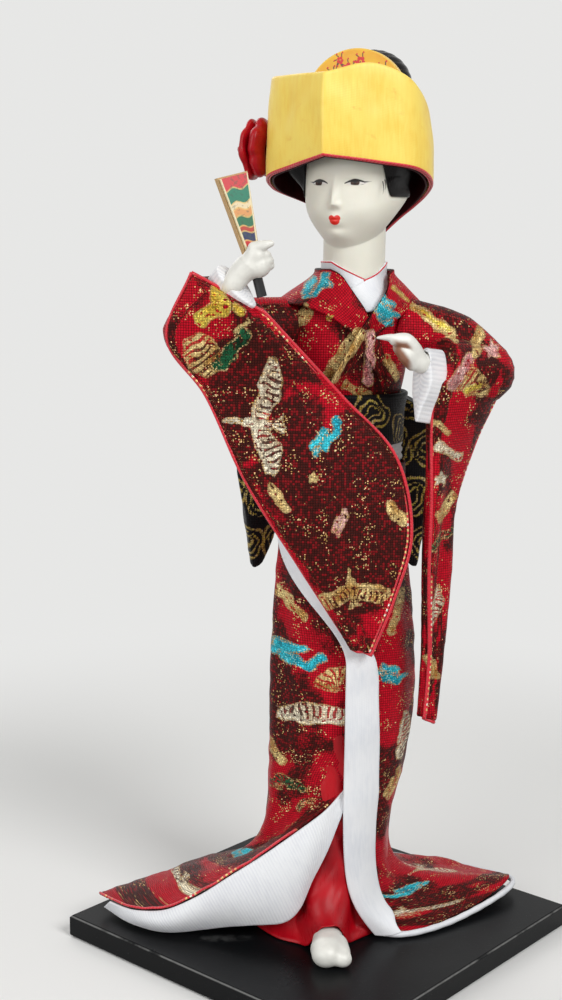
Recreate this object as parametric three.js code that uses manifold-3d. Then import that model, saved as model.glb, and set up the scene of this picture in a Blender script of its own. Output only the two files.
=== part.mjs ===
// Dressed display doll on a square base: one named mesh per piece, millimetres, +Z up, the doll faces -Y.
// Figure coordinates: x and y from the figure's upright axis, heights from the top of the base.
import * as THREE from 'three';
import { mergeVertices } from 'three/addons/utils/BufferGeometryUtils.js';
import Module from 'manifold-3d';

const wasm = await Module();
wasm.setup();

// Fits
const CLEARANCE = 0.3;
const SIMPLIFY = 0.04;

// Base
const BASE_SIDE = 125;
const BASE_THICKNESS = 8;
const BASE_CHAMFER = 0.8;
const FIGURE_OFFSET = 5;

// Stand wires, legs and feet
const LEG_WIRE_RADIUS = 1.25;
const LEG_WIRE_SOCKET = 5.5;
const LEG_WIRE_REACH = 16;
const FOOT_LENGTH = 36;
const FOOT_WIDTH = 14.6;
const FOOT_INSTEP = 11;
const RIGHT_TOE = { x: -4.6, y: -47.4 };
const LEFT_TOE = { x: 7.8, y: -19 };
const ANKLE_RADIUS = 4.4;
const THIGH_RADIUS = 6.6;
const HIP_SPREAD = 8;

// Body under the dress: half-width and half-depth at each level
const HIP_LEVEL = 118;
const WAIST_LEVEL = 176;
const CHEST_LEVEL = 195;
const SHOULDER_LEVEL = 208;
const NECK_SEAT_LEVEL = 213;
const HIP_HALF_WIDTH = 17;
const HIP_HALF_DEPTH = 13.8;
const WAIST_HALF_WIDTH = 16.2;
const WAIST_HALF_DEPTH = 13.4;
const CHEST_HALF_WIDTH = 19.5;
const CHEST_HALF_DEPTH = 14.6;
const SHOULDER_HALF_WIDTH = 22.5;
const SHOULDER_HALF_DEPTH = 13.2;
const BODY_TURN = THREE.MathUtils.degToRad(12);

// Neck and head
const PEG_RADIUS = 3;
const PEG_SOCKET = 16;
const PEG_LENGTH = 30;
const NECK_RADIUS = 10.2;
const NECK_OFFSET = 2.3;
const CHIN_LEVEL = 233;
const CROWN_LEVEL = 275;
const FACE_HALF_WIDTH = 16.4;
const FACE_FRONT = 16;
const HEAD_BACK = 17.2;
const CHIN_ROUND = 12;
const JAW_RISE = 6;
const EAR_REACH = 1.4;
const EAR_LEVEL = 250;
const NOSE_REACH = 2.6;
const HEAD_TURN = THREE.MathUtils.degToRad(-31);

// Hair, comb, headdress and rose
const HAIR_HALF_WIDTH = 22.6;
const HAIR_HALF_DEPTH = 20.6;
const HAIR_HALF_HEIGHT = 21;
const HAIR_LEVEL = 262;
const HAIR_HEM_LEVEL = 246;
const HAIRLINE_LEVEL = 263;
const BUN_RADIUS = 14;
const BUN_HEIGHT = 12;
const COMB_RADIUS = 19;
const COMB_TOP_LEVEL = 296;
const COMB_HEIGHT = 18;
const COMB_THICKNESS = 2;
const COMB_SETBACK = 8.5;
const COMB_OFFSET = -1.7;
const HEADDRESS_THICKNESS = 1.3;
const LINING_THICKNESS = 0.8;
const HEADDRESS_RIDGE = 26;
const HEADDRESS_HALF_WIDTH = 26.4;
const HEADDRESS_NAPE = 24;
const HEADDRESS_TURN = THREE.MathUtils.degToRad(6.4);
const HEADDRESS_SHIFT = { x: -2, y: -1.2 };
const HEADDRESS_DIP = 3;
const ROSE_RADIUS = 9.6;
const ROSE_DEPTH = 9;
const ROSE_LEVEL = 264;

// Dress layers
const BODICE_THICKNESS = 1.4;
const BODICE_HEM_LEVEL = 160;
const BODICE_NECK_LEVEL = 217;
const COLLAR_THICKNESS = 1;
const COLLAR_WIDTH = 11;
const INNER_COLLAR_WIDTH = 10;
const NECKLINE_LEVEL = 227;
const NECKLINE_POINT_LEVEL = 221.5;
const COLLAR_DROP = 11.5;
const OBI_LEVEL = 168.5;
const OBI_HEIGHT = 15.5;
const OBI_THICKNESS = 1.8;
const SASH_HEIGHT = 6;
const SASH_THICKNESS = 1.2;
const BOW_HALF_WIDTH = 37;
const BOW_TOP_LEVEL = 186;
const BOW_DROP = 66;
const BOW_DEPTH = 11;
const BOW_CLOTH = 2;
const KNOT_WIDTH = 15;
const KNOT_HEIGHT = 24;

// Skirt, train and linings
const SKIRT_THICKNESS = 1.4;
const KNEE_LEVEL = 52;
const SKIRT_HALF_WIDTH = 25;
const SKIRT_HALF_DEPTH = 20.6;
const SKIRT_DRAW = 5;
const LEFT_TIP = { x: -83, y: 4, level: 5.5 };
const RIGHT_TIP = { x: 65, y: 11, level: 5 };
const TRAIN_BACK = 47;
const HEM_GAP = 1.1;
const FACING_WIDTH = 9.5;
const FACING_THICKNESS = 1.2;
const HEM_ROLL_RADIUS = 1.5;
const UNDERSKIRT_THICKNESS = 1.2;
const UNDERSKIRT_TOP_LEVEL = 150;
const UNDERSKIRT_HEM_WIDTH = 27;
const UNDERSKIRT_HEM_DEPTH = 25;
const UNDERSKIRT_FORWARD = 6;

// Arms, sleeves and hands
const ARM_WIRE_RADIUS = 1.1;
const ARM_PAD_RADIUS = 3.6;
const SLEEVE_ARM_RADIUS = 9;
const SLEEVE_EDGE = 2.6;
const SLEEVE_PUFF = 5.5;
const RIGHT_ELBOW = { x: -51, y: -17, level: 204.5 };
const RIGHT_WRIST = { x: -37.6, y: -31, level: 222.8 };
const LEFT_ELBOW = { x: 44.5, y: -13, level: 192 };
const LEFT_WRIST = { x: 20, y: -29, level: 197 };
const RIGHT_SLEEVE_TIP = { x: 5, y: -26, level: 101 };
const LEFT_SLEEVE_TIP = { x: 27.5, y: -20, level: 75 };
const CUFF_HALF_LENGTH = 10.5;
const CUFF_HALF_WIDTH = 4.3;
const CUFF_THICKNESS = 0.8;
const CUFF_REACH = 9;
const WRIST_RADIUS = 3.2;
const PALM_LENGTH = 9;
const FINGER_RADIUS = 1.45;
const FINGER_LENGTH = 7.5;
const HAND_SOCKET = 5;

// Paddle
const PADDLE_BLADE_LENGTH = 24;
const PADDLE_TOP_WIDTH = 10.4;
const PADDLE_NECK_WIDTH = 5;
const PADDLE_THICKNESS = 2.2;
const PADDLE_TANG_WIDTH = 1.8;
const PADDLE_GRIP_WIDTH = 3.2;
const PADDLE_GRIP_LENGTH = 14;
const PRINT_THICKNESS = 0.8;

const vec = (x, y, z) => new THREE.Vector3(x, y, z);
const at = (p) => vec(p.x, p.y, p.level);
const lerp = THREE.MathUtils.lerp;
const smooth = (x, from, to) => THREE.MathUtils.smoothstep(x, from, to);
const FRONT = -Math.PI / 2;

// Solids

function solidOf(geometry) {
  const bare = geometry.clone();
  bare.deleteAttribute('normal');
  bare.deleteAttribute('uv');
  const merged = mergeVertices(bare, 1e-4);
  const faces = [];
  const index = merged.index.array;
  for (let i = 0; i < index.length; i += 3) {
    const [a, b, c] = [index[i], index[i + 1], index[i + 2]];
    if (a !== b && b !== c && a !== c) faces.push(a, b, c);
  }
  const make = (list) =>
    new wasm.Manifold(
      new wasm.Mesh({
        numProp: 3,
        vertProperties: new Float32Array(merged.attributes.position.array),
        triVerts: new Uint32Array(list),
      }),
    );
  const made = make(faces);
  if (made.volume() >= 0) return made;
  const turned = [];
  for (let i = 0; i < faces.length; i += 3) turned.push(faces[i], faces[i + 2], faces[i + 1]);
  return make(turned);
}

// The largest body left of a solid after the tools are taken away.
function cut(solid, ...tools) {
  let left = solid;
  for (const tool of tools) left = left.subtract(tool);
  return left
    .simplify(SIMPLIFY)
    .decompose().sort((a, b) => b.volume() - a.volume())[0];
}

function join(first, ...others) {
  return others.reduce((sum, other) => sum.add(other), first);
}

function geometryOf(points, faces) {
  const geometry = new THREE.BufferGeometry();
  const numbers = points.flatMap((p) => [p.x, p.y, p.z]);
  geometry.setAttribute('position', new THREE.Float32BufferAttribute(numbers, 3));
  geometry.setIndex(faces);
  return geometry;
}

// A closed body through rings of equal point count, with a fan at each end.
function loft(rings) {
  const n = rings[0].length;
  const points = rings.flat();
  const faces = [];
  for (let r = 0; r + 1 < rings.length; r++) {
    for (let i = 0; i < n; i++) {
      const j = (i + 1) % n;
      const [a, b, c, d] = [r * n + i, r * n + j, (r + 1) * n + j, (r + 1) * n + i];
      faces.push(a, b, c, a, c, d);
    }
  }
  for (const [r, turn] of [[0, true], [rings.length - 1, false]]) {
    const middle = rings[r].reduce((sum, p) => sum.add(p), vec(0, 0, 0)).divideScalar(n);
    points.push(middle);
    for (let i = 0; i < n; i++) {
      const [a, b] = [r * n + i, r * n + ((i + 1) % n)];
      faces.push(points.length - 1, turn ? b : a, turn ? a : b);
    }
  }
  return solidOf(geometryOf(points, faces));
}

// A cloth: a surface point(u, v) given a thickness, open or closed round u, grown on all sides by grow.
function shell(point, { columns, rows, thickness, closed = false, grow = 0 }) {
  const count = closed ? columns : columns + 1;
  const outer = [];
  const inner = [];
  for (let j = 0; j <= rows; j++) {
    for (let i = 0; i < count; i++) {
      const [u, v] = [i / columns, j / rows];
      const p = point(u, v);
      const e = 1e-3;
      const along = point(u + e, v).sub(point(u - e, v)).normalize();
      const across = point(u, v + e).sub(point(u, v - e)).normalize();
      if (!closed && i % columns === 0) p.addScaledVector(along, i ? grow : -grow);
      if (j % rows === 0) p.addScaledVector(across, j ? grow : -grow);
      const normal = along.cross(across).normalize();
      const half = (typeof thickness === 'function' ? thickness(u, v) : thickness) / 2 + grow;
      outer.push(p.clone().addScaledVector(normal, half));
      inner.push(p.clone().addScaledVector(normal, -half));
    }
  }
  const total = outer.length;
  const faces = [];
  const quad = (a, b, c, d) => faces.push(a, b, c, a, c, d);
  const id = (i, j) => j * count + (i % count);
  for (let j = 0; j < rows; j++) {
    for (let i = 0; i < columns; i++) {
      quad(id(i, j), id(i + 1, j), id(i + 1, j + 1), id(i, j + 1));
      quad(total + id(i, j), total + id(i, j + 1), total + id(i + 1, j + 1), total + id(i + 1, j));
    }
  }
  for (let i = 0; i < columns; i++) {
    quad(id(i, 0), total + id(i, 0), total + id(i + 1, 0), id(i + 1, 0));
    quad(id(i, rows), id(i + 1, rows), total + id(i + 1, rows), total + id(i, rows));
  }
  if (!closed) {
    for (let j = 0; j < rows; j++) {
      quad(id(0, j), id(0, j + 1), total + id(0, j + 1), total + id(0, j));
      quad(id(columns, j), total + id(columns, j), total + id(columns, j + 1), id(columns, j + 1));
    }
  }
  return solidOf(geometryOf([...outer, ...inner], faces));
}

// A round bar along straight runs that meet in bends of the given radius.
function bar(points, radius, bend = 4, sides = 10) {
  const path = new THREE.CurvePath();
  let from = points[0];
  for (let i = 1; i + 1 < points.length; i++) {
    const corner = points[i];
    const [before, after] = [points[i - 1], points[i + 1]].map((p) => corner.distanceTo(p) / 2.2);
    const reach = Math.min(bend, before, after);
    const entry = corner.clone().add(points[i - 1].clone().sub(corner).setLength(reach));
    const leave = corner.clone().add(points[i + 1].clone().sub(corner).setLength(reach));
    path.add(new THREE.LineCurve3(from, entry));
    path.add(new THREE.QuadraticBezierCurve3(entry, corner, leave));
    from = leave;
  }
  path.add(new THREE.LineCurve3(from, points.at(-1)));
  const section = new THREE.Shape();
  for (let i = 0; i < sides; i++) {
    const angle = (2 * Math.PI * i) / sides;
    const [x, y] = [radius * Math.cos(angle), radius * Math.sin(angle)];
    if (i) section.lineTo(x, y);
    else section.moveTo(x, y);
  }
  const steps = points.length > 2 ? 5 * (points.length - 1) : 1;
  return solidOf(new THREE.ExtrudeGeometry(section, { steps, extrudePath: path, bevelEnabled: false }));
}

// A round bar whose radius follows the list along the points.
function taper(points, radii, sides = 8) {
  const curve = new THREE.CatmullRomCurve3(points);
  const steps = 2 * (points.length - 1);
  const frames = curve.computeFrenetFrames(steps, false);
  const rings = [];
  for (let k = 0; k <= steps; k++) {
    const place = (k / steps) * (radii.length - 1);
    const low = Math.min(Math.floor(place), radii.length - 2);
    const r = lerp(radii[low], radii[low + 1], place - low);
    const middle = curve.getPointAt(k / steps);
    rings.push(
      Array.from({ length: sides }, (_, i) => {
        const angle = (2 * Math.PI * i) / sides;
        return middle
          .clone()
          .addScaledVector(frames.normals[k], r * Math.cos(angle))
          .addScaledVector(frames.binormals[k], r * Math.sin(angle));
      }),
    );
  }
  return loft(rings);
}

function ball(middle, radii, wide = 20, high = 12) {
  const geometry = new THREE.SphereGeometry(1, wide, high);
  geometry.rotateX(Math.PI / 2);
  geometry.scale(radii.x, radii.y, radii.z);
  geometry.translate(middle.x, middle.y, middle.z);
  return solidOf(geometry);
}

function block(low, high) {
  const geometry = new THREE.BoxGeometry(high.x - low.x, high.y - low.y, high.z - low.z);
  geometry.translate((low.x + high.x) / 2, (low.y + high.y) / 2, (low.z + high.z) / 2);
  return solidOf(geometry);
}

function plate(outline, thickness) {
  const options = { depth: thickness, bevelEnabled: false, curveSegments: 10 };
  return solidOf(new THREE.ExtrudeGeometry(outline, options));
}

// Value at x on a smooth line through [x, value] stations in rising order.
function follow(stations, x) {
  const last = stations.length - 1;
  if (x <= stations[0][0]) return stations[0][1];
  if (x >= stations[last][0]) return stations[last][1];
  const k = stations.findIndex((s) => s[0] > x) - 1;
  return lerp(stations[k][1], stations[k + 1][1], smooth(x, stations[k][0], stations[k + 1][0]));
}

// Materials

const look = (color, roughness, metalness = 0) =>
  new THREE.MeshStandardMaterial({ color, roughness, metalness });
const MATERIALS = {
  lacquer: look(0x0b0b0c, 0.3),
  steel: look(0x8c8f92, 0.35, 1),
  wood: look(0xb98d55, 0.6),
  wadding: look(0xe9e2d2, 0.95),
  skin: look(0xf1ece4, 0.45),
  hair: look(0x0c0a0b, 0.3),
  tortoise: look(0xc77a1f, 0.3),
  yellowSilk: look(0xf0c850, 0.6),
  redSilk: look(0xb01226, 0.45),
  whiteSilk: look(0xf2eee6, 0.5),
  brocade: look(0xb5172b, 0.55),
  obi: look(0x17130f, 0.5),
  cotton: look(0xf4f2ee, 0.9),
  card: look(0xc8862d, 0.7),
};

const figure = new THREE.Group();
figure.position.set(FIGURE_OFFSET, 0, BASE_THICKNESS);
const headGroup = new THREE.Group();
headGroup.position.x = NECK_OFFSET;
headGroup.rotation.z = HEAD_TURN;
figure.add(headGroup);
const doll = new THREE.Group();
doll.add(figure);

function place(name, solid, material, group = figure) {
  const mesh = solid.getMesh();
  const geometry = new THREE.BufferGeometry();
  geometry.setAttribute('position', new THREE.BufferAttribute(mesh.vertProperties, 3));
  geometry.setIndex(new THREE.BufferAttribute(mesh.triVerts, 1));
  geometry.computeVertexNormals();
  const piece = new THREE.Mesh(geometry, material);
  piece.name = name;
  group.add(piece);
}

// Stand wires, feet and legs

function legParts(toe, hipSide) {
  const heel = toe.y + FOOT_LENGTH;
  const ankle = vec(toe.x, heel - FOOT_LENGTH * 0.2, FOOT_INSTEP);
  const hip = vec(hipSide * HIP_SPREAD, 0, HIP_LEVEL);
  const wirePath = [
    vec(ankle.x, ankle.y, -LEG_WIRE_SOCKET),
    vec(ankle.x, ankle.y, FOOT_INSTEP + 3),
    hip.clone().add(vec(0, 0, -3)),
    hip.clone().add(vec(0, 0, LEG_WIRE_REACH)),
  ];
  const wire = (grow = 0) => bar(wirePath, LEG_WIRE_RADIUS + grow, 4, 6);
  const foot = (grow = 0) => {
    const rings = [];
    const stations = [
      [0, 0.5, 0.34],
      [0.05, 0.84, 0.52],
      [0.2, 1, 0.68],
      [0.5, 0.94, 0.86],
      [0.75, 0.74, 1],
      [0.93, 0.66, 0.95],
      [1, 0.34, 0.6],
    ];
    for (const [along, wide, high] of stations) {
      const y = toe.y - grow + along * (FOOT_LENGTH + 2 * grow);
      const a = (FOOT_WIDTH / 2) * wide + grow;
      const h = FOOT_INSTEP * high - CLEARANCE;
      const ring = [];
      for (let i = 0; i < 12; i++) {
        const angle = (2 * Math.PI * i) / 12;
        const z = CLEARANCE - grow + (h + 2 * grow) * (0.5 + 0.5 * Math.sin(angle));
        ring.push(vec(toe.x + a * Math.sign(Math.cos(angle)) * Math.abs(Math.cos(angle)) ** 0.6, y, z));
      }
      rings.push(ring);
    }
    return loft(rings);
  };
  const leg = (grow = 0) => {
    const footTop = ankle.clone().add(vec(0, 0, CLEARANCE - grow));
    const top = hip.clone().add(vec(0, 0, grow - CLEARANCE));
    const rings = [];
    for (let k = 0; k <= 3; k++) {
      const middle = footTop.clone().lerp(top, k / 3);
      const r = lerp(ANKLE_RADIUS, THIGH_RADIUS, smooth(k / 3, 0, 0.8)) + grow;
      rings.push(
        Array.from({ length: 12 }, (_, i) => {
          const angle = (2 * Math.PI * i) / 12;
          return vec(middle.x + r * Math.cos(angle), middle.y + r * Math.sin(angle), middle.z);
        }),
      );
    }
    return loft(rings);
  };
  const cleftSide = hipSide < 0 ? 1 : -1;
  const cleft = block(
    vec(toe.x + cleftSide * FOOT_WIDTH * 0.14 - 0.35, toe.y - 1, FOOT_INSTEP * 0.12),
    vec(toe.x + cleftSide * FOOT_WIDTH * 0.14 + 0.35, toe.y + FOOT_LENGTH * 0.2, FOOT_INSTEP),
  );
  return { wire, foot, leg, cleft };
}

const rightLeg = legParts(RIGHT_TOE, -1);
const leftLeg = legParts(LEFT_TOE, 1);
const legWires = [rightLeg.wire(CLEARANCE), leftLeg.wire(CLEARANCE)];

// Body core

const bodiceFoot = CLEARANCE;
const bodiceOut = bodiceFoot + BODICE_THICKNESS;
const innerCollarOut = bodiceOut + 3 * CLEARANCE + COLLAR_THICKNESS;
const collarRoot = NECK_RADIUS + CLEARANCE + COLLAR_THICKNESS - innerCollarOut;
const bodyWidth = [
  [HIP_LEVEL, HIP_HALF_WIDTH],
  [WAIST_LEVEL, WAIST_HALF_WIDTH],
  [CHEST_LEVEL, CHEST_HALF_WIDTH],
  [SHOULDER_LEVEL, SHOULDER_HALF_WIDTH],
  [NECKLINE_LEVEL - 3, collarRoot],
];
const bodyDepth = [
  [HIP_LEVEL, HIP_HALF_DEPTH],
  [WAIST_LEVEL, WAIST_HALF_DEPTH],
  [CHEST_LEVEL, CHEST_HALF_DEPTH],
  [SHOULDER_LEVEL, SHOULDER_HALF_DEPTH],
  [NECKLINE_LEVEL - 3, collarRoot],
];

// A point on the body at an angle from +X and a level, moved outwards; the chest is turned on the hips
// and the neck stands to one side.
function onBody(angle, level, offset) {
  const turn = BODY_TURN * smooth(level, HIP_LEVEL, CHEST_LEVEL);
  const slope = (stations) => (follow(stations, level + 1) - follow(stations, level - 1)) / 2;
  const wide = follow(bodyWidth, level) + offset * Math.hypot(1, slope(bodyWidth));
  const deep = follow(bodyDepth, level) + offset * Math.hypot(1, slope(bodyDepth));
  const x = wide * Math.cos(angle - turn);
  const y = deep * Math.sin(angle - turn);
  const side = NECK_OFFSET * smooth(level, CHEST_LEVEL, NECKLINE_LEVEL - 3);
  return vec(side + x * Math.cos(turn) - y * Math.sin(turn), x * Math.sin(turn) + y * Math.cos(turn), level);
}

function bodyLoft(low, high, offset, count = 8, sides = 18) {
  const rings = [];
  for (let k = 0; k <= count; k++) {
    const level = lerp(low, high, k / count);
    rings.push(Array.from({ length: sides }, (_, i) => onBody((2 * Math.PI * i) / sides, level, offset)));
  }
  return loft(rings);
}

const peg = (x, grow = 0) =>
  bar(
    [
      vec(x, 0, NECK_SEAT_LEVEL - PEG_SOCKET - grow),
      vec(x, 0, NECK_SEAT_LEVEL - PEG_SOCKET + PEG_LENGTH + grow),
    ],
    PEG_RADIUS + grow,
    1,
    16,
  );

// Arms: the wire runs from inside the body through shoulder and elbow into the hand.

function armParts(side, elbow, wrist) {
  const inner = vec(side * SHOULDER_HALF_WIDTH * 0.35, 0, SHOULDER_LEVEL - 4);
  const shoulder = vec(side * (SHOULDER_HALF_WIDTH + 2), -2, SHOULDER_LEVEL - 3);
  const forearm = wrist.clone().sub(elbow).normalize();
  const end = wrist.clone().addScaledVector(forearm, HAND_SOCKET);
  const wire = (grow = 0) => bar([inner, shoulder, elbow, end], ARM_WIRE_RADIUS + grow, 5, 6);
  const padStart = shoulder.clone().lerp(elbow, 0.12);
  const padEnd = wrist.clone().addScaledVector(forearm, -CUFF_REACH * 0.8);
  const pad = (grow = 0) => bar([padStart, elbow, padEnd], ARM_PAD_RADIUS + grow, 6, 8);
  return { shoulder, elbow, wrist, forearm, wire, pad };
}

const rightArm = armParts(-1, at(RIGHT_ELBOW), at(RIGHT_WRIST));
const leftArm = armParts(1, at(LEFT_ELBOW), at(LEFT_WRIST));

const core = cut(
  bodyLoft(HIP_LEVEL + CLEARANCE, NECK_SEAT_LEVEL, -3 * CLEARANCE),
  ...legWires,
  peg(NECK_OFFSET, CLEARANCE),
  rightArm.wire(CLEARANCE),
  leftArm.wire(CLEARANCE),
);

// Head, in the head group's own frame: faces -Y, turned with the group.

function headRing(level, sides = 28) {
  const up = THREE.MathUtils.clamp((level - CHIN_LEVEL) / (CROWN_LEVEL - CHIN_LEVEL), 0, 1);
  const dome = Math.sqrt(Math.max(0, 1 - smooth(up, 0.45, 1.02) ** 2.2));
  const ring = [];
  for (let i = 0; i < sides; i++) {
    const angle = (2 * Math.PI * i) / sides;
    const front = Math.max(0, -Math.sin(angle));
    const jaw = CHIN_LEVEL - 1.5 + JAW_RISE * smooth(Math.sin(angle), -0.8, 0.2);
    const rise = THREE.MathUtils.clamp((level - jaw) / CHIN_ROUND, 0, 1);
    const face = (1 - (1 - rise) ** 2) ** 1.15;
    const depth = Math.sin(angle) < 0 ? FACE_FRONT : HEAD_BACK;
    const besides = Math.exp(-(((Math.sin(angle) - 0.22) / 0.2) ** 2) - ((level - EAR_LEVEL) / 4.5) ** 2);
    const nose = NOSE_REACH * Math.exp(-(((angle + Math.PI / 2 + 4 * Math.PI) % (2 * Math.PI)) ** 2) / 0.016);
    const noseBack = NOSE_REACH * Math.exp(-(((3 * Math.PI) / 2 - angle) ** 2) / 0.016);
    const bridge = smooth(up, 0.26, 0.34) * (1 - smooth(up, 0.4, 0.66));
    const bump = Math.max(i * 4 < 3 * sides ? 0 : nose, noseBack) * bridge;
    const wide = lerp(NECK_RADIUS, FACE_HALF_WIDTH * dome, face) + EAR_REACH * besides;
    const deep = lerp(NECK_RADIUS, depth * dome, face) + bump * front;
    ring.push(vec(wide * Math.cos(angle), deep * Math.sin(angle), level));
  }
  return ring;
}

const headLevels = [
  NECK_SEAT_LEVEL + CLEARANCE,
  CHIN_LEVEL - 5,
  CHIN_LEVEL - 1.5,
  CHIN_LEVEL - 0.8,
  CHIN_LEVEL + 0.4,
  CHIN_LEVEL + 2.6,
  CHIN_LEVEL + 5.6,
];
for (let k = 1; k <= 11; k++) headLevels.push(lerp(CHIN_LEVEL + 5.6, CROWN_LEVEL, k / 11));
const head = cut(loft(headLevels.map((level) => headRing(level))), peg(0, CLEARANCE));
const headRoom = loft(
  headLevels.slice(4).map((level, k) => {
    const lift = k ? 2 * CLEARANCE : -4;
    return headRing(level, 16).map((p) => vec(p.x, p.y, 0).multiplyScalar(1.09).setZ(level + lift));
  }),
);

// Headdress: a band with a front ridge, deep at the brow and narrow at the nape, open on top.

const bandPlan = new THREE.CatmullRomCurve3(
  [
    vec(0, -1, 0),
    vec(0.46, -0.7, 0),
    vec(0.91, -0.34, 0),
    vec(1, 0.12, 0),
    vec(0.74, 0.74, 0),
    vec(0.3, 0.99, 0),
    vec(0, 1.02, 0),
  ],
  false,
  'centripetal',
);
const bandFoot = [[0, 260.7], [0.4, 254], [0.72, 246], [1, 237.5]];
const bandHead = [
  [0, 284.5],
  [0.24, 287.5],
  [0.36, 282.5],
  [0.48, 275.5],
  [0.66, 268],
  [0.84, 261],
  [1, 257],
];

// From the headdress's own frame to the head's.
function onHead(p) {
  const turned = p.applyAxisAngle(vec(0, 0, 1), HEADDRESS_TURN);
  return turned.add(vec(HEADDRESS_SHIFT.x, HEADDRESS_SHIFT.y, 0));
}

function bandPoint(u, v, inset, drop) {
  const side = u < 0.5 ? -1 : 1;
  const s = Math.min(1, Math.abs(1 - 2 * u));
  const q = bandPlan.getPoint(s);
  const low = follow(bandFoot, s) - drop;
  const dip = side < 0 ? HEADDRESS_DIP * lerp(0.45, 1, smooth(s, 0, 0.25)) * (1 - smooth(s, 0.4, 0.7)) : 0;
  const high = follow(bandHead, s) - dip;
  const lean = lerp(1.02, 0.96, v) * lerp(1, lerp(0.76, 1, v), smooth(s, 0.5, 0.92));
  const x = (HEADDRESS_HALF_WIDTH - inset) * q.x * lean;
  const y = q.y < 0 ? (HEADDRESS_RIDGE - inset) * q.y : (HEADDRESS_NAPE - inset) * q.y * lean;
  return onHead(vec(side * x, y, lerp(low, high, v)));
}

const headdress = (grow = 0) =>
  shell((u, v) => bandPoint(u, v, 0, 0), {
    columns: 32,
    rows: 3,
    thickness: HEADDRESS_THICKNESS,
    closed: true,
    grow,
  });
const liningInset = HEADDRESS_THICKNESS / 2 + CLEARANCE * 2 + LINING_THICKNESS / 2;
const headLining = (grow = 0) =>
  shell((u, v) => bandPoint(u, lerp(0, 0.97, v), liningInset, 0.9), {
    columns: 32,
    rows: 2,
    thickness: LINING_THICKNESS,
    closed: true,
    grow,
  });
const bandRoom = headLining(CLEARANCE).add(headdress(CLEARANCE));

// Hair, comb and bun

const combMiddle = COMB_TOP_LEVEL - COMB_RADIUS;
function combPlate(grow = 0) {
  const outline = new THREE.Shape();
  const r = COMB_RADIUS + grow;
  const foot = COMB_TOP_LEVEL - COMB_HEIGHT - grow;
  const spread = Math.acos(THREE.MathUtils.clamp((foot - combMiddle) / r, -0.95, 0.95));
  for (let i = 0; i <= 20; i++) {
    const angle = Math.PI / 2 + spread * (1 - (2 * i) / 20);
    const [x, y] = [r * Math.cos(angle), combMiddle + r * Math.sin(angle)];
    if (i) outline.lineTo(x, y);
    else outline.moveTo(x, y);
  }
  const half = COMB_THICKNESS / 2 + grow;
  return plate(outline, 2 * half).translate([0, 0, -half]).rotate([90, 0, 0]).translate([
    HEADDRESS_SHIFT.x + COMB_OFFSET,
    HEADDRESS_SHIFT.y + COMB_SETBACK,
    0,
  ]);
}
const hairMass = (grow = 0) =>
  ball(
    vec(HEADDRESS_SHIFT.x, HEADDRESS_SHIFT.y + 1, HAIR_LEVEL),
    vec(HAIR_HALF_WIDTH + grow, HAIR_HALF_DEPTH + grow, HAIR_HALF_HEIGHT + grow),
    16,
    10,
  ).subtract(
    block(vec(-40, -40, HAIR_LEVEL - HAIR_HALF_HEIGHT - 5), vec(40, 40, HAIR_HEM_LEVEL - grow)),
  ).subtract(
    block(
      vec(-FACE_HALF_WIDTH, -40, HAIR_HEM_LEVEL - 2),
      vec(FACE_HALF_WIDTH, -FACE_FRONT * 0.4, HAIRLINE_LEVEL - grow),
    ),
  );
const hair = cut(hairMass(), headRoom, bandRoom, combPlate(CLEARANCE));
const bun = cut(
  ball(
    vec(
      HEADDRESS_SHIFT.x + COMB_OFFSET,
      HEADDRESS_SHIFT.y + COMB_SETBACK + COMB_THICKNESS + BUN_RADIUS * 0.75,
      COMB_TOP_LEVEL - BUN_HEIGHT + 1,
    ),
    vec(BUN_RADIUS, BUN_RADIUS * 0.8, BUN_HEIGHT),
    14,
    8,
  ),
  hairMass(CLEARANCE),
  combPlate(CLEARANCE),
  bandRoom,
);

// Rose on the headdress's right-hand side, its petals open away from the band.

const roseFoot = HEADDRESS_HALF_WIDTH + HEADDRESS_THICKNESS / 2 + CLEARANCE;
function petals(depths, widths, lobes, turn) {
  const rings = depths.map((d, k) =>
    Array.from({ length: 20 }, (_, i) => {
      const angle = (2 * Math.PI * i) / 20;
      const lobe = 0.09 * Math.cos(lobes * angle + turn) * Math.min(1, 2 * widths[k]);
      const r = ROSE_RADIUS * widths[k] * (1 + lobe);
      return onHead(vec(-(roseFoot + ROSE_DEPTH * d), r * Math.cos(angle), ROSE_LEVEL + r * Math.sin(angle)));
    }),
  );
  return loft(rings);
}
const rosePetals = cut(
  petals([-0.2, 0.1, 0.3, 0.52, 0.6, 0.5, 0.35], [0.35, 0.6, 0.95, 1, 0.9, 0.7, 0.5], 5, 0),
  bandRoom,
);
const roseHeart = cut(petals([0.45, 0.7, 0.85, 1, 1.05], [0.48, 0.62, 0.56, 0.34, 0.12], 3, 1),
  petals([-0.2, 0.1, 0.3, 0.52, 0.6, 0.5, 0.35], [0.37, 0.63, 0.98, 1.04, 0.94, 0.74, 0.54], 5, 0)
    .translate([-CLEARANCE, 0, 0]));

// Bodice, collars, sash and obi: layers over the body

const collarOut = innerCollarOut + 2 * (2 * CLEARANCE + COLLAR_THICKNESS);

// Level of the neckline at an angle away from the front of the chest.
function neckline(away) {
  return lerp(NECKLINE_POINT_LEVEL, NECKLINE_LEVEL, Math.min(1, Math.abs(away) / 1.4));
}
const chestFront = FRONT + BODY_TURN;
const bodiceShell = (grow = 0) =>
  shell(
    (u, v) => {
      const away = (u - 0.5) * 2 * Math.PI;
      const top = Math.min(BODICE_NECK_LEVEL, neckline(away) - 6);
      return onBody(chestFront + away, lerp(BODICE_HEM_LEVEL, top, v), (bodiceFoot + bodiceOut) / 2);
    },
    { columns: 24, rows: 9, thickness: BODICE_THICKNESS, closed: true, grow },
  );

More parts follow.
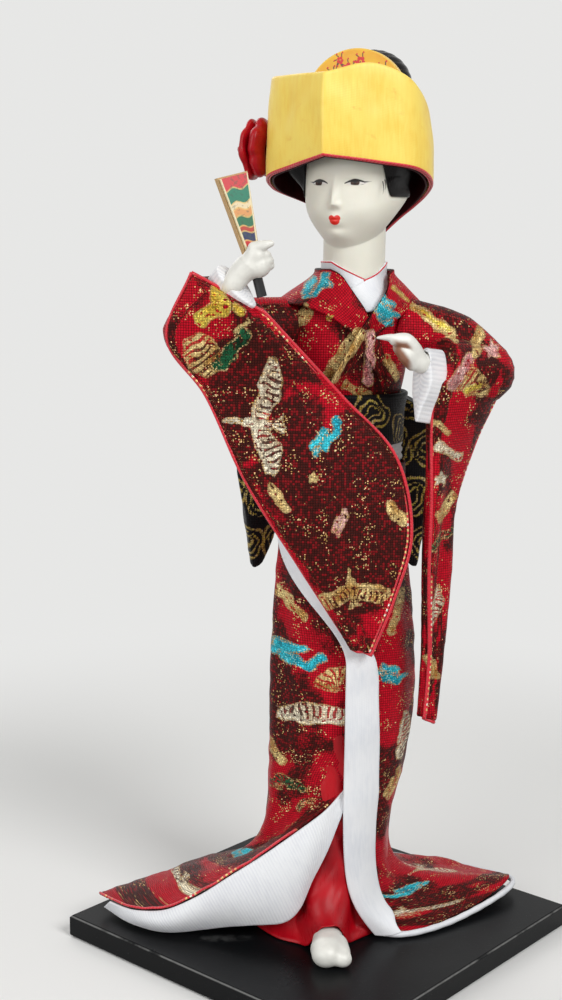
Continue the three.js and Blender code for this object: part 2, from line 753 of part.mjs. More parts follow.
// A collar strip from the nape to past the front, on the given side.
function strip(side, topAt, width, offset, reach, grow) {
  return shell(
    (u, v) => {
      const away = side * lerp(Math.PI * 0.995, -reach, u);
      const lap = (side > 0 ? 1 : 0) * (CLEARANCE + COLLAR_THICKNESS) * smooth(u, 0.7, 0.9);
      const snug = typeof offset === 'function' ? offset(u) : offset;
      return onBody(chestFront + away, topAt(u) - width * v, snug + lap);
    },
    { columns: 20, rows: 2, thickness: COLLAR_THICKNESS, grow },
  );
}
const innerTop = (u) =>
  lerp(NECKLINE_LEVEL, NECKLINE_POINT_LEVEL, THREE.MathUtils.clamp((u - 0.62) / 0.325, 0, 1.2));
const collarTop = (u) => {
  const down = THREE.MathUtils.clamp((u - 0.64) / 0.26, 0, 1.3) ** 1.6;
  return lerp(NECKLINE_LEVEL - 2.5, NECKLINE_POINT_LEVEL - COLLAR_DROP, down);
};
const collarFit = (u) => {
  const [snug, loose] = [innerCollarOut + 2 * CLEARANCE, collarOut - COLLAR_THICKNESS];
  return lerp(snug, loose, smooth(u, 0.45, 0.66)) + COLLAR_THICKNESS / 2;
};
const innerRight = (grow = 0) =>
  strip(-1, innerTop, INNER_COLLAR_WIDTH, innerCollarOut - COLLAR_THICKNESS / 2, 0.18, grow);
const innerLeft = (grow = 0) =>
  strip(1, innerTop, INNER_COLLAR_WIDTH, innerCollarOut - COLLAR_THICKNESS / 2, 0.18, grow);
const outerRight = (grow = 0) => strip(-1, collarTop, COLLAR_WIDTH, collarFit, 0.35, grow);
const outerLeft = (grow = 0) => strip(1, collarTop, COLLAR_WIDTH, collarFit, 0.5, grow);

const obiIn = bodiceOut + 2 * CLEARANCE;
const ring = (low, height, inside, thickness, grow = 0) =>
  shell((u, v) => onBody(FRONT + u * 2 * Math.PI, low + v * height, inside + thickness / 2), {
    columns: 30,
    rows: 2,
    thickness,
    closed: true,
    grow,
  });
const sashLevel = OBI_LEVEL - CLEARANCE - SASH_HEIGHT;
const skirtTop = sashLevel - 2 * CLEARANCE;
const obiBand = (grow = 0) => ring(OBI_LEVEL, OBI_HEIGHT, obiIn, OBI_THICKNESS, grow);
const sash = (grow = 0) => ring(sashLevel, SASH_HEIGHT, obiIn, SASH_THICKNESS, grow);

// Obi bow behind: a knot on the band and a hanging loop on each side.

const obiBack = WAIST_HALF_DEPTH + obiIn + OBI_THICKNESS;
const knotMiddle = vec(0, obiBack + CLEARANCE * 2 + BOW_DEPTH / 2, OBI_LEVEL + OBI_HEIGHT / 2);
const knot = (grow = 0) =>
  ball(
    knotMiddle,
    vec(KNOT_WIDTH / 2 + grow, BOW_DEPTH / 2 + 1 + grow, KNOT_HEIGHT / 2 + grow),
    14,
    8,
  );
// u runs from the knot to the fold, v from the top edge to the bottom edge.
const loopShell = (side, grow = 0) =>
  shell(
    (u, v) => {
      const reach = lerp(KNOT_WIDTH * 0.32, BOW_HALF_WIDTH, u) * lerp(1, 0.8, v * u);
      const half = KNOT_HEIGHT * 0.28;
      const top = lerp(knotMiddle.z + half, BOW_TOP_LEVEL, Math.sin(Math.PI * 0.6 * u)) - 14 * u * u;
      const bottom = lerp(knotMiddle.z - half, BOW_TOP_LEVEL - BOW_DROP, smooth(u, 0, 0.9));
      return vec(side * reach, knotMiddle.y + 1.2 * Math.sin(7 * v) * u - 3 * u * v, lerp(top, bottom, v));
    },
    {
      columns: 10,
      rows: 6,
      thickness: (u, v) =>
        lerp(BOW_CLOTH * 2, BOW_DEPTH, smooth(u, 0.1, 0.6) * (1 - smooth(v, 0.5, 1))),
      grow,
    },
  );

// Skirt: wraps from under the front, round the left, back and right, to the over-edge at the front, then
// spreads into a train on the base.

const hemStops = [
  vec(LEFT_TIP.x, LEFT_TIP.y, LEFT_TIP.level),
  vec(LEFT_TIP.x * 0.93, lerp(LEFT_TIP.y, TRAIN_BACK, 0.17), 4.6),
  vec(LEFT_TIP.x * 0.79, lerp(LEFT_TIP.y, TRAIN_BACK, 0.38), 4),
  vec(LEFT_TIP.x * 0.53, TRAIN_BACK * 0.74, 2.4),
  vec(LEFT_TIP.x * 0.25, TRAIN_BACK * 0.95, 1.8),
  vec(0, TRAIN_BACK, 1.6),
  vec(RIGHT_TIP.x * 0.35, TRAIN_BACK * 0.93, 1.7),
  vec(RIGHT_TIP.x * 0.64, TRAIN_BACK * 0.75, 2),
  vec(RIGHT_TIP.x * 0.87, TRAIN_BACK * 0.52, 3.2),
  vec(RIGHT_TIP.x, RIGHT_TIP.y, RIGHT_TIP.level),
  vec(RIGHT_TIP.x * 0.62, -SKIRT_HALF_DEPTH * 0.62, 2.4),
  vec(RIGHT_TIP.x * 0.24, -SKIRT_HALF_DEPTH - 1.6, HEM_GAP + 0.2),
  vec(RIGHT_TIP.x * 0.06, -SKIRT_HALF_DEPTH - 2.4, HEM_GAP),
];
const hemLine = new THREE.CatmullRomCurve3(hemStops, false, 'centripetal');
const skirtWide = [[0, SKIRT_HALF_WIDTH], [30, SKIRT_HALF_WIDTH], [78, SKIRT_HALF_WIDTH]];
const skirtDeep = [[0, SKIRT_HALF_DEPTH * 0.97], [30, SKIRT_HALF_DEPTH * 0.97], [78, SKIRT_HALF_DEPTH]];
skirtWide.push([skirtTop, follow(bodyWidth, skirtTop) + bodiceOut + CLEARANCE + SKIRT_THICKNESS * 2]);
skirtDeep.push([skirtTop, follow(bodyDepth, skirtTop) + bodiceOut + CLEARANCE + SKIRT_THICKNESS * 2]);
const UNDERLAP = 0.55;

function skirtPoint(u, v) {
  const level = v < 0.6 ? lerp(skirtTop, KNEE_LEVEL, v / 0.6) : KNEE_LEVEL;
  const overlap = 1.2 * smooth(level, 96, 142);
  const start = FRONT + UNDERLAP * smooth(level, KNEE_LEVEL, KNEE_LEVEL + 18);
  const angle = start - u * (2 * Math.PI + start - FRONT + overlap);
  const layer = (SKIRT_THICKNESS + CLEARANCE * 1.5) * smooth(u, 0.62, 0.86);
  const fold = 0.5 * Math.sin(9 * angle + level * 0.03) * smooth(u, 0.1, 0.2) * (1 - smooth(u, 0.8, 0.9));
  const draw = Math.max(0, Math.cos(angle)) * SKIRT_DRAW;
  const tube = vec(
    (follow(skirtWide, level) + layer + fold - SKIRT_THICKNESS) * Math.cos(angle) -
      draw * (1 - smooth(level, KNEE_LEVEL * 0.6, KNEE_LEVEL * 1.6)),
    (follow(skirtDeep, level) + layer + fold - SKIRT_THICKNESS) * Math.sin(angle),
    level,
  );
  if (v <= 0.6) return tube;
  const t = Math.min(1, (v - 0.6) / 0.4);
  const hem = hemLine.getPoint(THREE.MathUtils.clamp(u, 0, 1));
  const sweep = 1 - smooth(u, 0, 0.16);
  const edge = smooth(u, 0.93, 1);
  const column = smooth(u, 0.5, 0.66);
  const puff = 9 * smooth(u, 0.02, 0.1) * (1 - smooth(u, 0.22, 0.4));
  const inward = -8 * sweep - draw * lerp(0.5, 2.6, column);
  const first = tube.clone().add(vec(inward, 0, -lerp(lerp(36, 42, column), 14, sweep) + 8 * edge));
  const toHem = lerp(lerp(lerp(0.46, 0.14, column), 0.55, sweep), 0.15, edge);
  const second = tube.clone().lerp(hem, toHem);
  second.z = hem.z + lerp(lerp(9, 6, column), 9.5, sweep) + 6 * edge + puff;
  const waving = smooth(t, 0.5, 1) * smooth(u, 0.08, 0.2) * (1 - smooth(u, 0.75, 0.85));
  const wave = Math.max(0, 1.6 * Math.sin(11 * Math.PI * u) * waving);
  const fall = new THREE.CubicBezierCurve3(tube, first, second, hem).getPoint(t);
  fall.z += wave;
  return fall.lerp(sweepEdge.getPoint(t), sweep);
}
// The under-edge, from the knee out to the left tip of the train.
const sweepEdge = new THREE.CatmullRomCurve3([
  skirtPoint(0, 0.6),
  vec(LEFT_TIP.x * 0.08, -SKIRT_HALF_DEPTH - 1, KNEE_LEVEL * 0.88),
  vec(LEFT_TIP.x * 0.165, -SKIRT_HALF_DEPTH - 1.9, KNEE_LEVEL * 0.78),
  vec(LEFT_TIP.x * 0.305, -SKIRT_HALF_DEPTH - 2.4, KNEE_LEVEL * 0.62),
  vec(LEFT_TIP.x * 0.437, -SKIRT_HALF_DEPTH - 1.9, KNEE_LEVEL * 0.477),
  vec(LEFT_TIP.x * 0.59, -SKIRT_HALF_DEPTH + 0.1, KNEE_LEVEL * 0.305),
  vec(LEFT_TIP.x * 0.72, -SKIRT_HALF_DEPTH + 3.6, KNEE_LEVEL * 0.185),
  vec(LEFT_TIP.x * 0.85, LEFT_TIP.y - 14.5, LEFT_TIP.level + 1.2),
  at(LEFT_TIP),
]);
const skirtShell = (grow = 0) =>
  shell((u, v) => skirtPoint(u, v), { columns: 34, rows: 12, thickness: SKIRT_THICKNESS, grow });

function aboveSkirt(u, v, height) {
  const e = 2e-3;
  const along = skirtPoint(Math.min(1, u + e), v).sub(skirtPoint(u - e, v));
  const down = skirtPoint(u, Math.min(1, v + e)).sub(skirtPoint(u, v - e));
  return skirtPoint(u, v).addScaledVector(along.cross(down).normalize(), height);
}

// White facing laid on the over-edge, narrow on the slant and full width on the upright run.
const facing = (grow = 0) =>
  shell(
    (u, v) => {
      const run = lerp(0.12, 0.985, v);
      const slant = lerp(0.4, 0.85, smooth(run, 0.24, 0.4));
      const width = FACING_WIDTH * slant * lerp(1, 2.3, smooth(run, 0.5, 0.95));
      const share = width / (2 * Math.PI * (SKIRT_HALF_WIDTH + SKIRT_HALF_DEPTH) * 0.5);
      return aboveSkirt(1 - u * share, run, SKIRT_THICKNESS / 2 + CLEARANCE * 2 + FACING_THICKNESS / 2);
    },
    { columns: 3, rows: 20, thickness: FACING_THICKNESS, grow },
  );

// White lining turned out along the sweeping under-edge, down to the base.
const liningFoot = new THREE.CatmullRomCurve3([
  vec(1, -SKIRT_HALF_DEPTH - 0.5, KNEE_LEVEL * 0.86),
  vec(-10, -SKIRT_HALF_DEPTH - 3, KNEE_LEVEL * 0.32),
  vec(-17, -SKIRT_HALF_DEPTH - 5, KNEE_LEVEL * 0.15),
  vec(LEFT_TIP.x * 0.38, -SKIRT_HALF_DEPTH - 1.5, 3.4),
  vec(LEFT_TIP.x * 0.57, -SKIRT_HALF_DEPTH + 2.1, HEM_GAP),
  vec(LEFT_TIP.x * 0.71, -SKIRT_HALF_DEPTH + 2.6, HEM_GAP),
  vec(LEFT_TIP.x * 0.85, LEFT_TIP.y - 15.6, HEM_GAP + 0.6),
  vec(LEFT_TIP.x * 0.975, LEFT_TIP.y - 3, LEFT_TIP.level - 3),
]);
const sideLining = (grow = 0) =>
  shell(
    (u, v) => {
      const edge = skirtPoint(0, lerp(0.6, 0.985, u)).add(vec(0, -0.8, -0.6));
      const foot = liningFoot.getPoint(THREE.MathUtils.clamp(u, 0, 1));
      const belly = 4 * v * (1 - v) * smooth(u, 0.05, 0.3) * (1 - smooth(u, 0.8, 1));
      return edge.lerp(foot, v).addScaledVector(vec(0, -2.2, 0.8), belly);
    },
    { columns: 18, rows: 4, thickness: FACING_THICKNESS, grow },
  );

// Padded white roll along the hem of the train, from the back round the right.
const rollLine = new THREE.CatmullRomCurve3(
  hemStops.slice(5).map((p) => {
    const outward = vec(p.x, p.y, 0).setLength(SKIRT_THICKNESS / 2 + HEM_ROLL_RADIUS);
    return vec(p.x + outward.x, p.y + outward.y, Math.max(p.z, HEM_ROLL_RADIUS + CLEARANCE));
  }),
  false,
  'centripetal',
);
function hemRoll(grow = 0) {
  const section = new THREE.Shape();
  for (let i = 0; i < 6; i++) {
    const [angle, r] = [(Math.PI * i) / 3, HEM_ROLL_RADIUS + grow];
    const [x, y] = [r * Math.cos(angle), r * Math.sin(angle)];
    if (i) section.lineTo(x, y);
    else section.moveTo(x, y);
  }
  const options = { steps: 20, bevelEnabled: false, extrudePath: rollLine };
  return solidOf(new THREE.ExtrudeGeometry(section, options));
}

// Red underskirt: a cone with folds that opens round the front foot.

function underskirtLoft(inset) {
  const rings = [];
  const topWide = Math.max(HIP_HALF_WIDTH, WAIST_HALF_WIDTH) + CLEARANCE + UNDERSKIRT_THICKNESS;
  const topDeep = Math.max(HIP_HALF_DEPTH, WAIST_HALF_DEPTH) + CLEARANCE + UNDERSKIRT_THICKNESS;
  for (let k = 0; k <= 8; k++) {
    const level = lerp(UNDERSKIRT_TOP_LEVEL + (inset ? 1 : 0), CLEARANCE - (inset ? 1 : 0), (k / 8) ** 0.7);
    const rise = 1 - smooth(level, 0, KNEE_LEVEL);
    const low = rise ** 5;
    const wide = lerp(topWide, UNDERSKIRT_HEM_WIDTH, low) - inset;
    const deep = lerp(topDeep, UNDERSKIRT_HEM_DEPTH, low) - inset;
    const frontTop = topDeep + 2.4 * (1 - smooth(level, 70, HIP_LEVEL));
    const frontDeep = lerp(frontTop, UNDERSKIRT_HEM_DEPTH, rise) - inset;
    const middle = RIGHT_TOE.x * 0.6 * low;
    rings.push(
      Array.from({ length: 26 }, (_, i) => {
        const angle = (2 * Math.PI * i) / 26;
        const fold = 1 + 0.045 * low * Math.cos(7 * angle);
        const x = middle + wide * fold * Math.cos(angle);
        const fromToe = (x - RIGHT_TOE.x) / (FOOT_WIDTH * 0.55);
        const beside = Math.exp(-(fromToe ** 4)) * Math.max(0, -Math.sin(angle));
        const over = 1.6 * UNDERSKIRT_FORWARD * beside * (1 - smooth(level, 0, KNEE_LEVEL * 0.6));
        const opening = Math.sin(angle) < 0 ? 1 - smooth(x, 0, 6) : 0;
        const reach = lerp(deep, frontDeep, opening) * fold;
        const forward = UNDERSKIRT_FORWARD * lerp(low, rise, opening);
        return vec(x, reach * Math.sin(angle) - forward - over, level);
      }),
    );
  }
  return loft(rings);
}
const underskirt = cut(
  underskirtLoft(0).subtract(underskirtLoft(UNDERSKIRT_THICKNESS)),
  rightLeg.foot(CLEARANCE),
  leftLeg.foot(CLEARANCE),
  rightLeg.leg(CLEARANCE),
  leftLeg.leg(CLEARANCE),
  skirtShell(CLEARANCE),
  sideLining(CLEARANCE),
  facing(CLEARANCE),
  hemRoll(CLEARANCE),
);

// Sleeves: a round arm part joined to a hanging bag, its two faces padded apart between its edges.

function bag(spine, thickness, grow = 0) {
  const near = new THREE.CatmullRomCurve3(spine.near, false, 'centripetal');
  const far = new THREE.CatmullRomCurve3(spine.far, false, 'centripetal');
  return shell(
    (u, v) => {
      const t = THREE.MathUtils.clamp(v, 0, 1);
      const point = near.getPoint(t).lerp(far.getPoint(t), u);
      const swing = 1.1 * Math.sin(Math.PI * u * 2.2 + 3 * t) * smooth(t, 0.1, 0.4);
      return point.addScaledVector(spine.fold, swing);
    },
    {
      columns: 7,
      rows: 12,
      grow,
      thickness: (u, v) => {
        const across = 2 * Math.sqrt(Math.max(0, u * (1 - u)));
        const down = lerp(1, 0.25, smooth(v, 0.1, 0.9)) * lerp(1.5, 1, smooth(v, 0, 0.3));
        return SLEEVE_EDGE + thickness * across * down;
      },
    },
  );
}
function armSleeve(arm, mouth, lift) {
  const end = arm.wrist.clone().addScaledVector(arm.forearm, -mouth);
  const start = arm.shoulder.clone().add(vec(-Math.sign(arm.shoulder.x) * 6, 0, 1));
  const middle = start.clone().lerp(arm.elbow, 0.55).add(lift);
  return join(
    taper([start, middle, arm.elbow], [SLEEVE_ARM_RADIUS * 1.1, SLEEVE_ARM_RADIUS * 1.08], 12),
    ball(arm.elbow, vec(1, 1, 1).multiplyScalar(SLEEVE_ARM_RADIUS), 12, 8),
    taper(
      [arm.elbow, arm.elbow.clone().lerp(end, 0.5), end],
      [SLEEVE_ARM_RADIUS, SLEEVE_ARM_RADIUS * 0.95],
      12,
    ),
  );
}

const rightBag = {
  near: [
    vec(-51.5, -29.5, 223.5),
    vec(-59, -25, 203),
    vec(-47, -25, 185.5),
    vec(-34.5, -27, 159),
    vec(-17, -27, 131),
    vec(RIGHT_SLEEVE_TIP.x - 4, RIGHT_SLEEVE_TIP.y, RIGHT_SLEEVE_TIP.level + 2),
  ],
  far: [
    vec(-29, -31.5, 211.5),
    vec(-4, -27, 185),
    vec(13.5, -27, 166),
    vec(19, -28, 141),
    vec(14, -27.5, 120),
    vec(RIGHT_SLEEVE_TIP.x + 2, RIGHT_SLEEVE_TIP.y, RIGHT_SLEEVE_TIP.level),
  ],
  fold: vec(0, 1, 0),
};
const leftBag = {
  near: [
    vec(25, -28, 191),
    vec(24.5, -26, 172),
    vec(24.6, -25, 150),
    vec(24.6, -24, 126),
    vec(26, -22, 98),
    vec(LEFT_SLEEVE_TIP.x - 2, LEFT_SLEEVE_TIP.y - 2, LEFT_SLEEVE_TIP.level + 3),
  ],
  far: [
    vec(49, -11, 186),
    vec(41, -11, 168),
    vec(34, -12.5, 147),
    vec(33, -14, 124),
    vec(31.2, -16, 98),
    vec(LEFT_SLEEVE_TIP.x + 2, LEFT_SLEEVE_TIP.y + 2, LEFT_SLEEVE_TIP.level),
  ],
  fold: vec(0.7, -0.7, 0),
};

// Cuff: a flat open tube round the forearm, its long way across the sleeve mouth, narrow at the hanging end.
function cuffPoint(arm, cuff, angle, along, grow = 0) {
  const wide = arm.forearm.clone().cross(cuff.long).normalize();
  const away = wide.clone().cross(arm.forearm).normalize();
  const narrow = lerp(1, cuff.point, smooth(Math.cos(angle), -0.3, 1));
  return arm.wrist
    .clone()
    .addScaledVector(arm.forearm, along)
    .addScaledVector(away, cuff.shift + (cuff.half + grow) * Math.cos(angle))
    .addScaledVector(wide, (CUFF_HALF_WIDTH * narrow + grow) * Math.sin(angle));
}
const cuffShell = (arm, cuff) =>
  shell((u, v) => cuffPoint(arm, cuff, 2 * Math.PI * u, lerp(-CUFF_REACH - 4, -CUFF_REACH * 0.28, v)), {
    columns: 18,
    rows: 2,
    thickness: CUFF_THICKNESS,
    closed: true,
  });
const cuffPlug = (arm, cuff) =>
  loft(
    [-CUFF_REACH - 4 - CLEARANCE, CUFF_REACH].map((along) =>
      Array.from({ length: 18 }, (_, i) =>
        cuffPoint(arm, cuff, (Math.PI * i) / 9, along, CUFF_THICKNESS / 2 + CLEARANCE),
      ),
    ),
  );
const rightCuff = {
  long: vec(0.5, -0.15, -0.85),
  half: CUFF_HALF_LENGTH * 0.8,
  shift: CUFF_HALF_LENGTH * 0.18,
  point: 0.7,
};
const leftCuff = {
  long: vec(0, 0, -1),
  half: CUFF_HALF_LENGTH * 1.1,
  shift: CUFF_HALF_LENGTH * 0.7,
  point: 0.35,
};

const bodyRoom = bodyLoft(BODICE_HEM_LEVEL, NECKLINE_LEVEL, bodiceFoot + BODICE_THICKNESS / 2, 8, 20).add(
  bodiceShell(CLEARANCE),
);
const collarPair = outerRight(CLEARANCE).add(outerLeft(CLEARANCE));
const waistRoom = obiBand(CLEARANCE).add(sash(CLEARANCE));
const rightSleeve = cut(
  join(armSleeve(rightArm, CUFF_REACH, vec(0, 0, 0)), bag(rightBag, SLEEVE_PUFF)),
  rightArm.pad(CLEARANCE),
  rightArm.wire(CLEARANCE),
  cuffPlug(rightArm, rightCuff),
  bodyRoom,
  collarPair,
  waistRoom,
  skirtShell(CLEARANCE),
  facing(CLEARANCE),
);
const leftSleeve = cut(
  join(armSleeve(leftArm, CUFF_REACH, vec(2, 0, 3)), bag(leftBag, SLEEVE_PUFF * 0.8)),
  leftArm.pad(CLEARANCE),
  leftArm.wire(CLEARANCE),
  cuffPlug(leftArm, leftCuff),
  bodyRoom,
  collarPair,
  waistRoom,
  skirtShell(CLEARANCE),
  facing(CLEARANCE),
);

// Hands, in their own frames: origin at the wrist, +Z along the forearm.

function handFrame(arm, palmFacing) {
  const z = arm.forearm.clone();
  const x = palmFacing.clone().addScaledVector(z, -palmFacing.dot(z)).normalize();
  const y = z.clone().cross(x);
  const group = new THREE.Group();
  group.position.copy(arm.wrist);
  group.quaternion.setFromRotationMatrix(new THREE.Matrix4().makeBasis(x, y, z));
  figure.add(group);
  return group;
}
const wireSocket = bar(
  [vec(0, 0, -2), vec(0, 0, HAND_SOCKET + CLEARANCE)],
  ARM_WIRE_RADIUS + CLEARANCE,
  1,
  10,
);
const fingerRadii = [FINGER_RADIUS, FINGER_RADIUS * 0.95, FINGER_RADIUS * 0.8, FINGER_RADIUS * 0.3];

// The right hand closes round the paddle grip with the first finger pointing.
const rightHandGroup = handFrame(rightArm, vec(0, 1, -0.1));
const gripAxis = vec(-0.26, 0, 0.966)
  .applyQuaternion(rightHandGroup.quaternion.clone().invert())
  .normalize();
const gripMiddle = vec(3.4, -2.4, PALM_LENGTH * 0.48);
const alongGrip = (d) => gripMiddle.clone().addScaledVector(gripAxis, d);
const gripBore = bar([alongGrip(-9), alongGrip(9)], PADDLE_GRIP_WIDTH / 2 + CLEARANCE, 1, 14);
const palm = (end) =>
  join(
    taper(
      [vec(0, 0, -1), vec(end.x * 0.2, 0, end.z * 0.4), end],
      [WRIST_RADIUS, WRIST_RADIUS * 0.95, WRIST_RADIUS * 1.35, WRIST_RADIUS * 1.15],
      9,
    ),
    ball(end, vec(1, 1.25, 1.05).multiplyScalar(WRIST_RADIUS * 1.1), 9, 6),
  );
const curled = [0, 1, 2].map((k) => {
  const root = vec(0.4, 0.9 - 1.9 * k, PALM_LENGTH + 1.6 - 0.9 * k);
  const joints = [vec(0, 0, 0), vec(2.4, -0.8, 3), vec(5.4, -0.8, 1), vec(4.6, -0.6, -2.4)];
  return taper(joints.map((p) => p.add(root)), fingerRadii, 5);
});
const pointing = taper(
  [
    vec(0, 2.4, PALM_LENGTH + 0.6),
    vec(0.8, 0.2, PALM_LENGTH + 4.4),
    vec(1.2, -2, PALM_LENGTH + FINGER_LENGTH),
  ],
  fingerRadii,
  5,
);
const thumb = taper(
  [vec(1.4, 2.4, PALM_LENGTH * 0.45), vec(4.4, 3.4, PALM_LENGTH * 0.75), vec(6.4, 2.4, PALM_LENGTH)],
  fingerRadii,
  5,
);

// The left hand is raised at the wrist, its fingers drooping to the front.
const leftHandGroup = handFrame(leftArm, vec(0, 0, -1));
const leftPalmEnd = vec(-PALM_LENGTH * 0.7, -0.6, PALM_LENGTH * 0.55);
const leftFingers = [0, 1, 2, 3].map((k) => {
  const root = leftPalmEnd.clone().add(vec(-0.8 + 0.5 * k, -2 + 1.2 * k, 1.2));
  const reach = FINGER_LENGTH + 1 - 0.9 * k;
  const bend = root.clone().add(vec(0, -reach * 0.4, reach * 0.45));
  const tip = root.clone().add(vec(1.8 + 0.7 * k, -reach * 0.6, reach * 0.85));
  return taper([root, bend, tip], fingerRadii, 5);
});
const leftThumb = taper(
  [vec(-2.4, 1.6, PALM_LENGTH * 0.42), vec(-1.6, 2.6, PALM_LENGTH * 0.9), vec(0.6, 1.6, PALM_LENGTH * 1.2)],
  fingerRadii,
  5,
);
const leftHand = cut(join(palm(leftPalmEnd), ...leftFingers, leftThumb), wireSocket);

// Paddle, in the right hand's frame: grip through the fist, blade above it, print on its front face.

const paddleGroup = new THREE.Group();
paddleGroup.position.copy(gripMiddle);
const paddleFront = vec(0.35, -0.93, 0.1).applyQuaternion(rightHandGroup.quaternion.clone().invert());
const paddleZ = gripAxis.clone();
const paddleY = paddleFront.addScaledVector(paddleZ, -paddleFront.dot(paddleZ)).normalize().negate();
const paddleX = paddleY.clone().cross(paddleZ);
paddleGroup.quaternion.setFromRotationMatrix(new THREE.Matrix4().makeBasis(paddleX, paddleY, paddleZ));
rightHandGroup.add(paddleGroup);

const bladeFoot = PADDLE_GRIP_LENGTH * 0.33;
const gripFoot = bladeFoot - PADDLE_GRIP_LENGTH;
function bladeOutline(inset, foot) {
  const top = bladeFoot + PADDLE_BLADE_LENGTH - inset;
  const outline = new THREE.Shape();
  outline.moveTo(-PADDLE_NECK_WIDTH / 2 + inset, foot);
  outline.lineTo(PADDLE_NECK_WIDTH / 2 - inset, foot);
  outline.lineTo(PADDLE_TOP_WIDTH / 2 - inset, top);
  outline.lineTo(-PADDLE_TOP_WIDTH / 2 + inset, top);
  outline.closePath();
  return outline;
}
const upright = (solid, y) => solid.rotate([90, 0, 0]).translate([0, y, 0]);
const blade = upright(plate(bladeOutline(0, bladeFoot), PADDLE_THICKNESS), PADDLE_THICKNESS / 2);
const tang = (grow = 0) =>
  block(
    vec(-PADDLE_TANG_WIDTH / 2 - grow, -PADDLE_TANG_WIDTH / 2 - grow, gripFoot + 1 - grow),
    vec(PADDLE_TANG_WIDTH / 2 + grow, PADDLE_TANG_WIDTH / 2 + grow, bladeFoot + 1),
  );
const paddleBoard = join(blade, tang());
const bladeRoom = upright(
  plate(bladeOutline(-CLEARANCE, bladeFoot - CLEARANCE), PADDLE_THICKNESS + PRINT_THICKNESS + 3 * CLEARANCE),
  PADDLE_THICKNESS / 2 + CLEARANCE,
);
paddleGroup.updateMatrix();
const rightHand = cut(
  join(palm(vec(0.4, 0, PALM_LENGTH)), ...curled, pointing, thumb),
  wireSocket,
  gripBore,
  bladeRoom.transform(paddleGroup.matrix.elements),
);
const paddleGrip = cut(
  bar([vec(0, 0, gripFoot), vec(0, 0, bladeFoot - CLEARANCE)], PADDLE_GRIP_WIDTH / 2, 1, 12),
  tang(CLEARANCE * 0.5),
);
const paddlePrint = upright(
  plate(bladeOutline(0.5, bladeFoot + 0.8), PRINT_THICKNESS),
  -PADDLE_THICKNESS / 2 - CLEARANCE * 0.5,
);

// Base

const basePlate = () => {
  const half = BASE_SIDE / 2;
  const square = (inset, z) => {
    const h = half - inset;
    return [vec(h, h, z), vec(-h, h, z), vec(-h, -h, z), vec(h, -h, z)];
  };
  return loft([
    square(BASE_CHAMFER, 0),
    square(0, BASE_CHAMFER),
    square(0, BASE_THICKNESS - BASE_CHAMFER),
    square(BASE_CHAMFER, BASE_THICKNESS),
  ]).rotate([0, 0, 45]);
};
place(
  'base_plate',
  cut(basePlate(), ...legWires.map((w) => w.translate([FIGURE_OFFSET, 0, BASE_THICKNESS]))),
  MATERIALS.lacquer,
  doll,
);

place('leg_wire_right', rightLeg.wire(), MATERIALS.steel);
place('leg_wire_left', leftLeg.wire(), MATERIALS.steel);
const footOf = (leg) => cut(leg.foot(), leg.wire(CLEARANCE), leg.leg(CLEARANCE), leg.cleft);
place('foot_right', footOf(rightLeg), MATERIALS.cotton);
place('foot_left', footOf(leftLeg), MATERIALS.cotton);
place('leg_right', cut(rightLeg.leg(), rightLeg.wire(CLEARANCE)), MATERIALS.wadding);
place('leg_left', cut(leftLeg.leg(), leftLeg.wire(CLEARANCE)), MATERIALS.wadding);
place('body_core', core, MATERIALS.wadding);
place('neck_peg', peg(NECK_OFFSET), MATERIALS.wood);
place('arm_wire_right', rightArm.wire(), MATERIALS.steel);
place('arm_wire_left', leftArm.wire(), MATERIALS.steel);
place('arm_pad_right', cut(rightArm.pad(), rightArm.wire(CLEARANCE), bodyRoom), MATERIALS.wadding);
place('arm_pad_left', cut(leftArm.pad(), leftArm.wire(CLEARANCE), bodyRoom), MATERIALS.wadding);

place('head', head, MATERIALS.skin, headGroup);
place('hair', hair, MATERIALS.hair, headGroup);
place('hair_bun', bun, MATERIALS.hair, headGroup);
place('comb', combPlate(), MATERIALS.tortoise, headGroup);
place('headdress', headdress(), MATERIALS.yellowSilk, headGroup);
place('headdress_lining', headLining(), MATERIALS.redSilk, headGroup);
place('rose_petals', rosePetals, MATERIALS.redSilk, headGroup);
place('rose_heart', roseHeart, MATERIALS.redSilk, headGroup);

const armRooms = [rightArm.wire(CLEARANCE), leftArm.wire(CLEARANCE)];
place('bodice', cut(bodiceShell(), ...armRooms), MATERIALS.brocade);
place('inner_collar_right', cut(innerRight(), bodiceShell(CLEARANCE)), MATERIALS.whiteSilk);
place(
  'inner_collar_left',
  cut(innerLeft(), bodiceShell(CLEARANCE), innerRight(CLEARANCE)),
  MATERIALS.whiteSilk,
);
const collarRoom = bodiceShell(CLEARANCE).add(innerRight(CLEARANCE)).add(innerLeft(CLEARANCE)).add(waistRoom);
place('collar_right', cut(outerRight(), collarRoom), MATERIALS.brocade);
place('collar_left', cut(outerLeft(), outerRight(CLEARANCE), collarRoom), MATERIALS.brocade);
place('obi_band', obiBand(), MATERIALS.obi);
place('sash', sash(), MATERIALS.whiteSilk);
place('obi_knot', cut(knot(), obiBand(CLEARANCE)), MATERIALS.obi);
const bowRoom = [knot, obiBand, sash, bodiceShell, skirtShell].map((solid) => solid(CLEARANCE));
place('obi_loop_right', cut(loopShell(-1), ...bowRoom), MATERIALS.obi);
place('obi_loop_left', cut(loopShell(1), ...bowRoom), MATERIALS.obi);

place('skirt', skirtShell(), MATERIALS.brocade);
place('facing_front', facing(), MATERIALS.whiteSilk);
place('lining_side', cut(sideLining(), skirtShell(CLEARANCE), facing(CLEARANCE)), MATERIALS.whiteSilk);
const rollRoom = [skirtShell, facing, sideLining].map((solid) => solid(CLEARANCE));
place('hem_roll', cut(hemRoll(), ...rollRoom), MATERIALS.whiteSilk);
place('underskirt', underskirt, MATERIALS.redSilk);

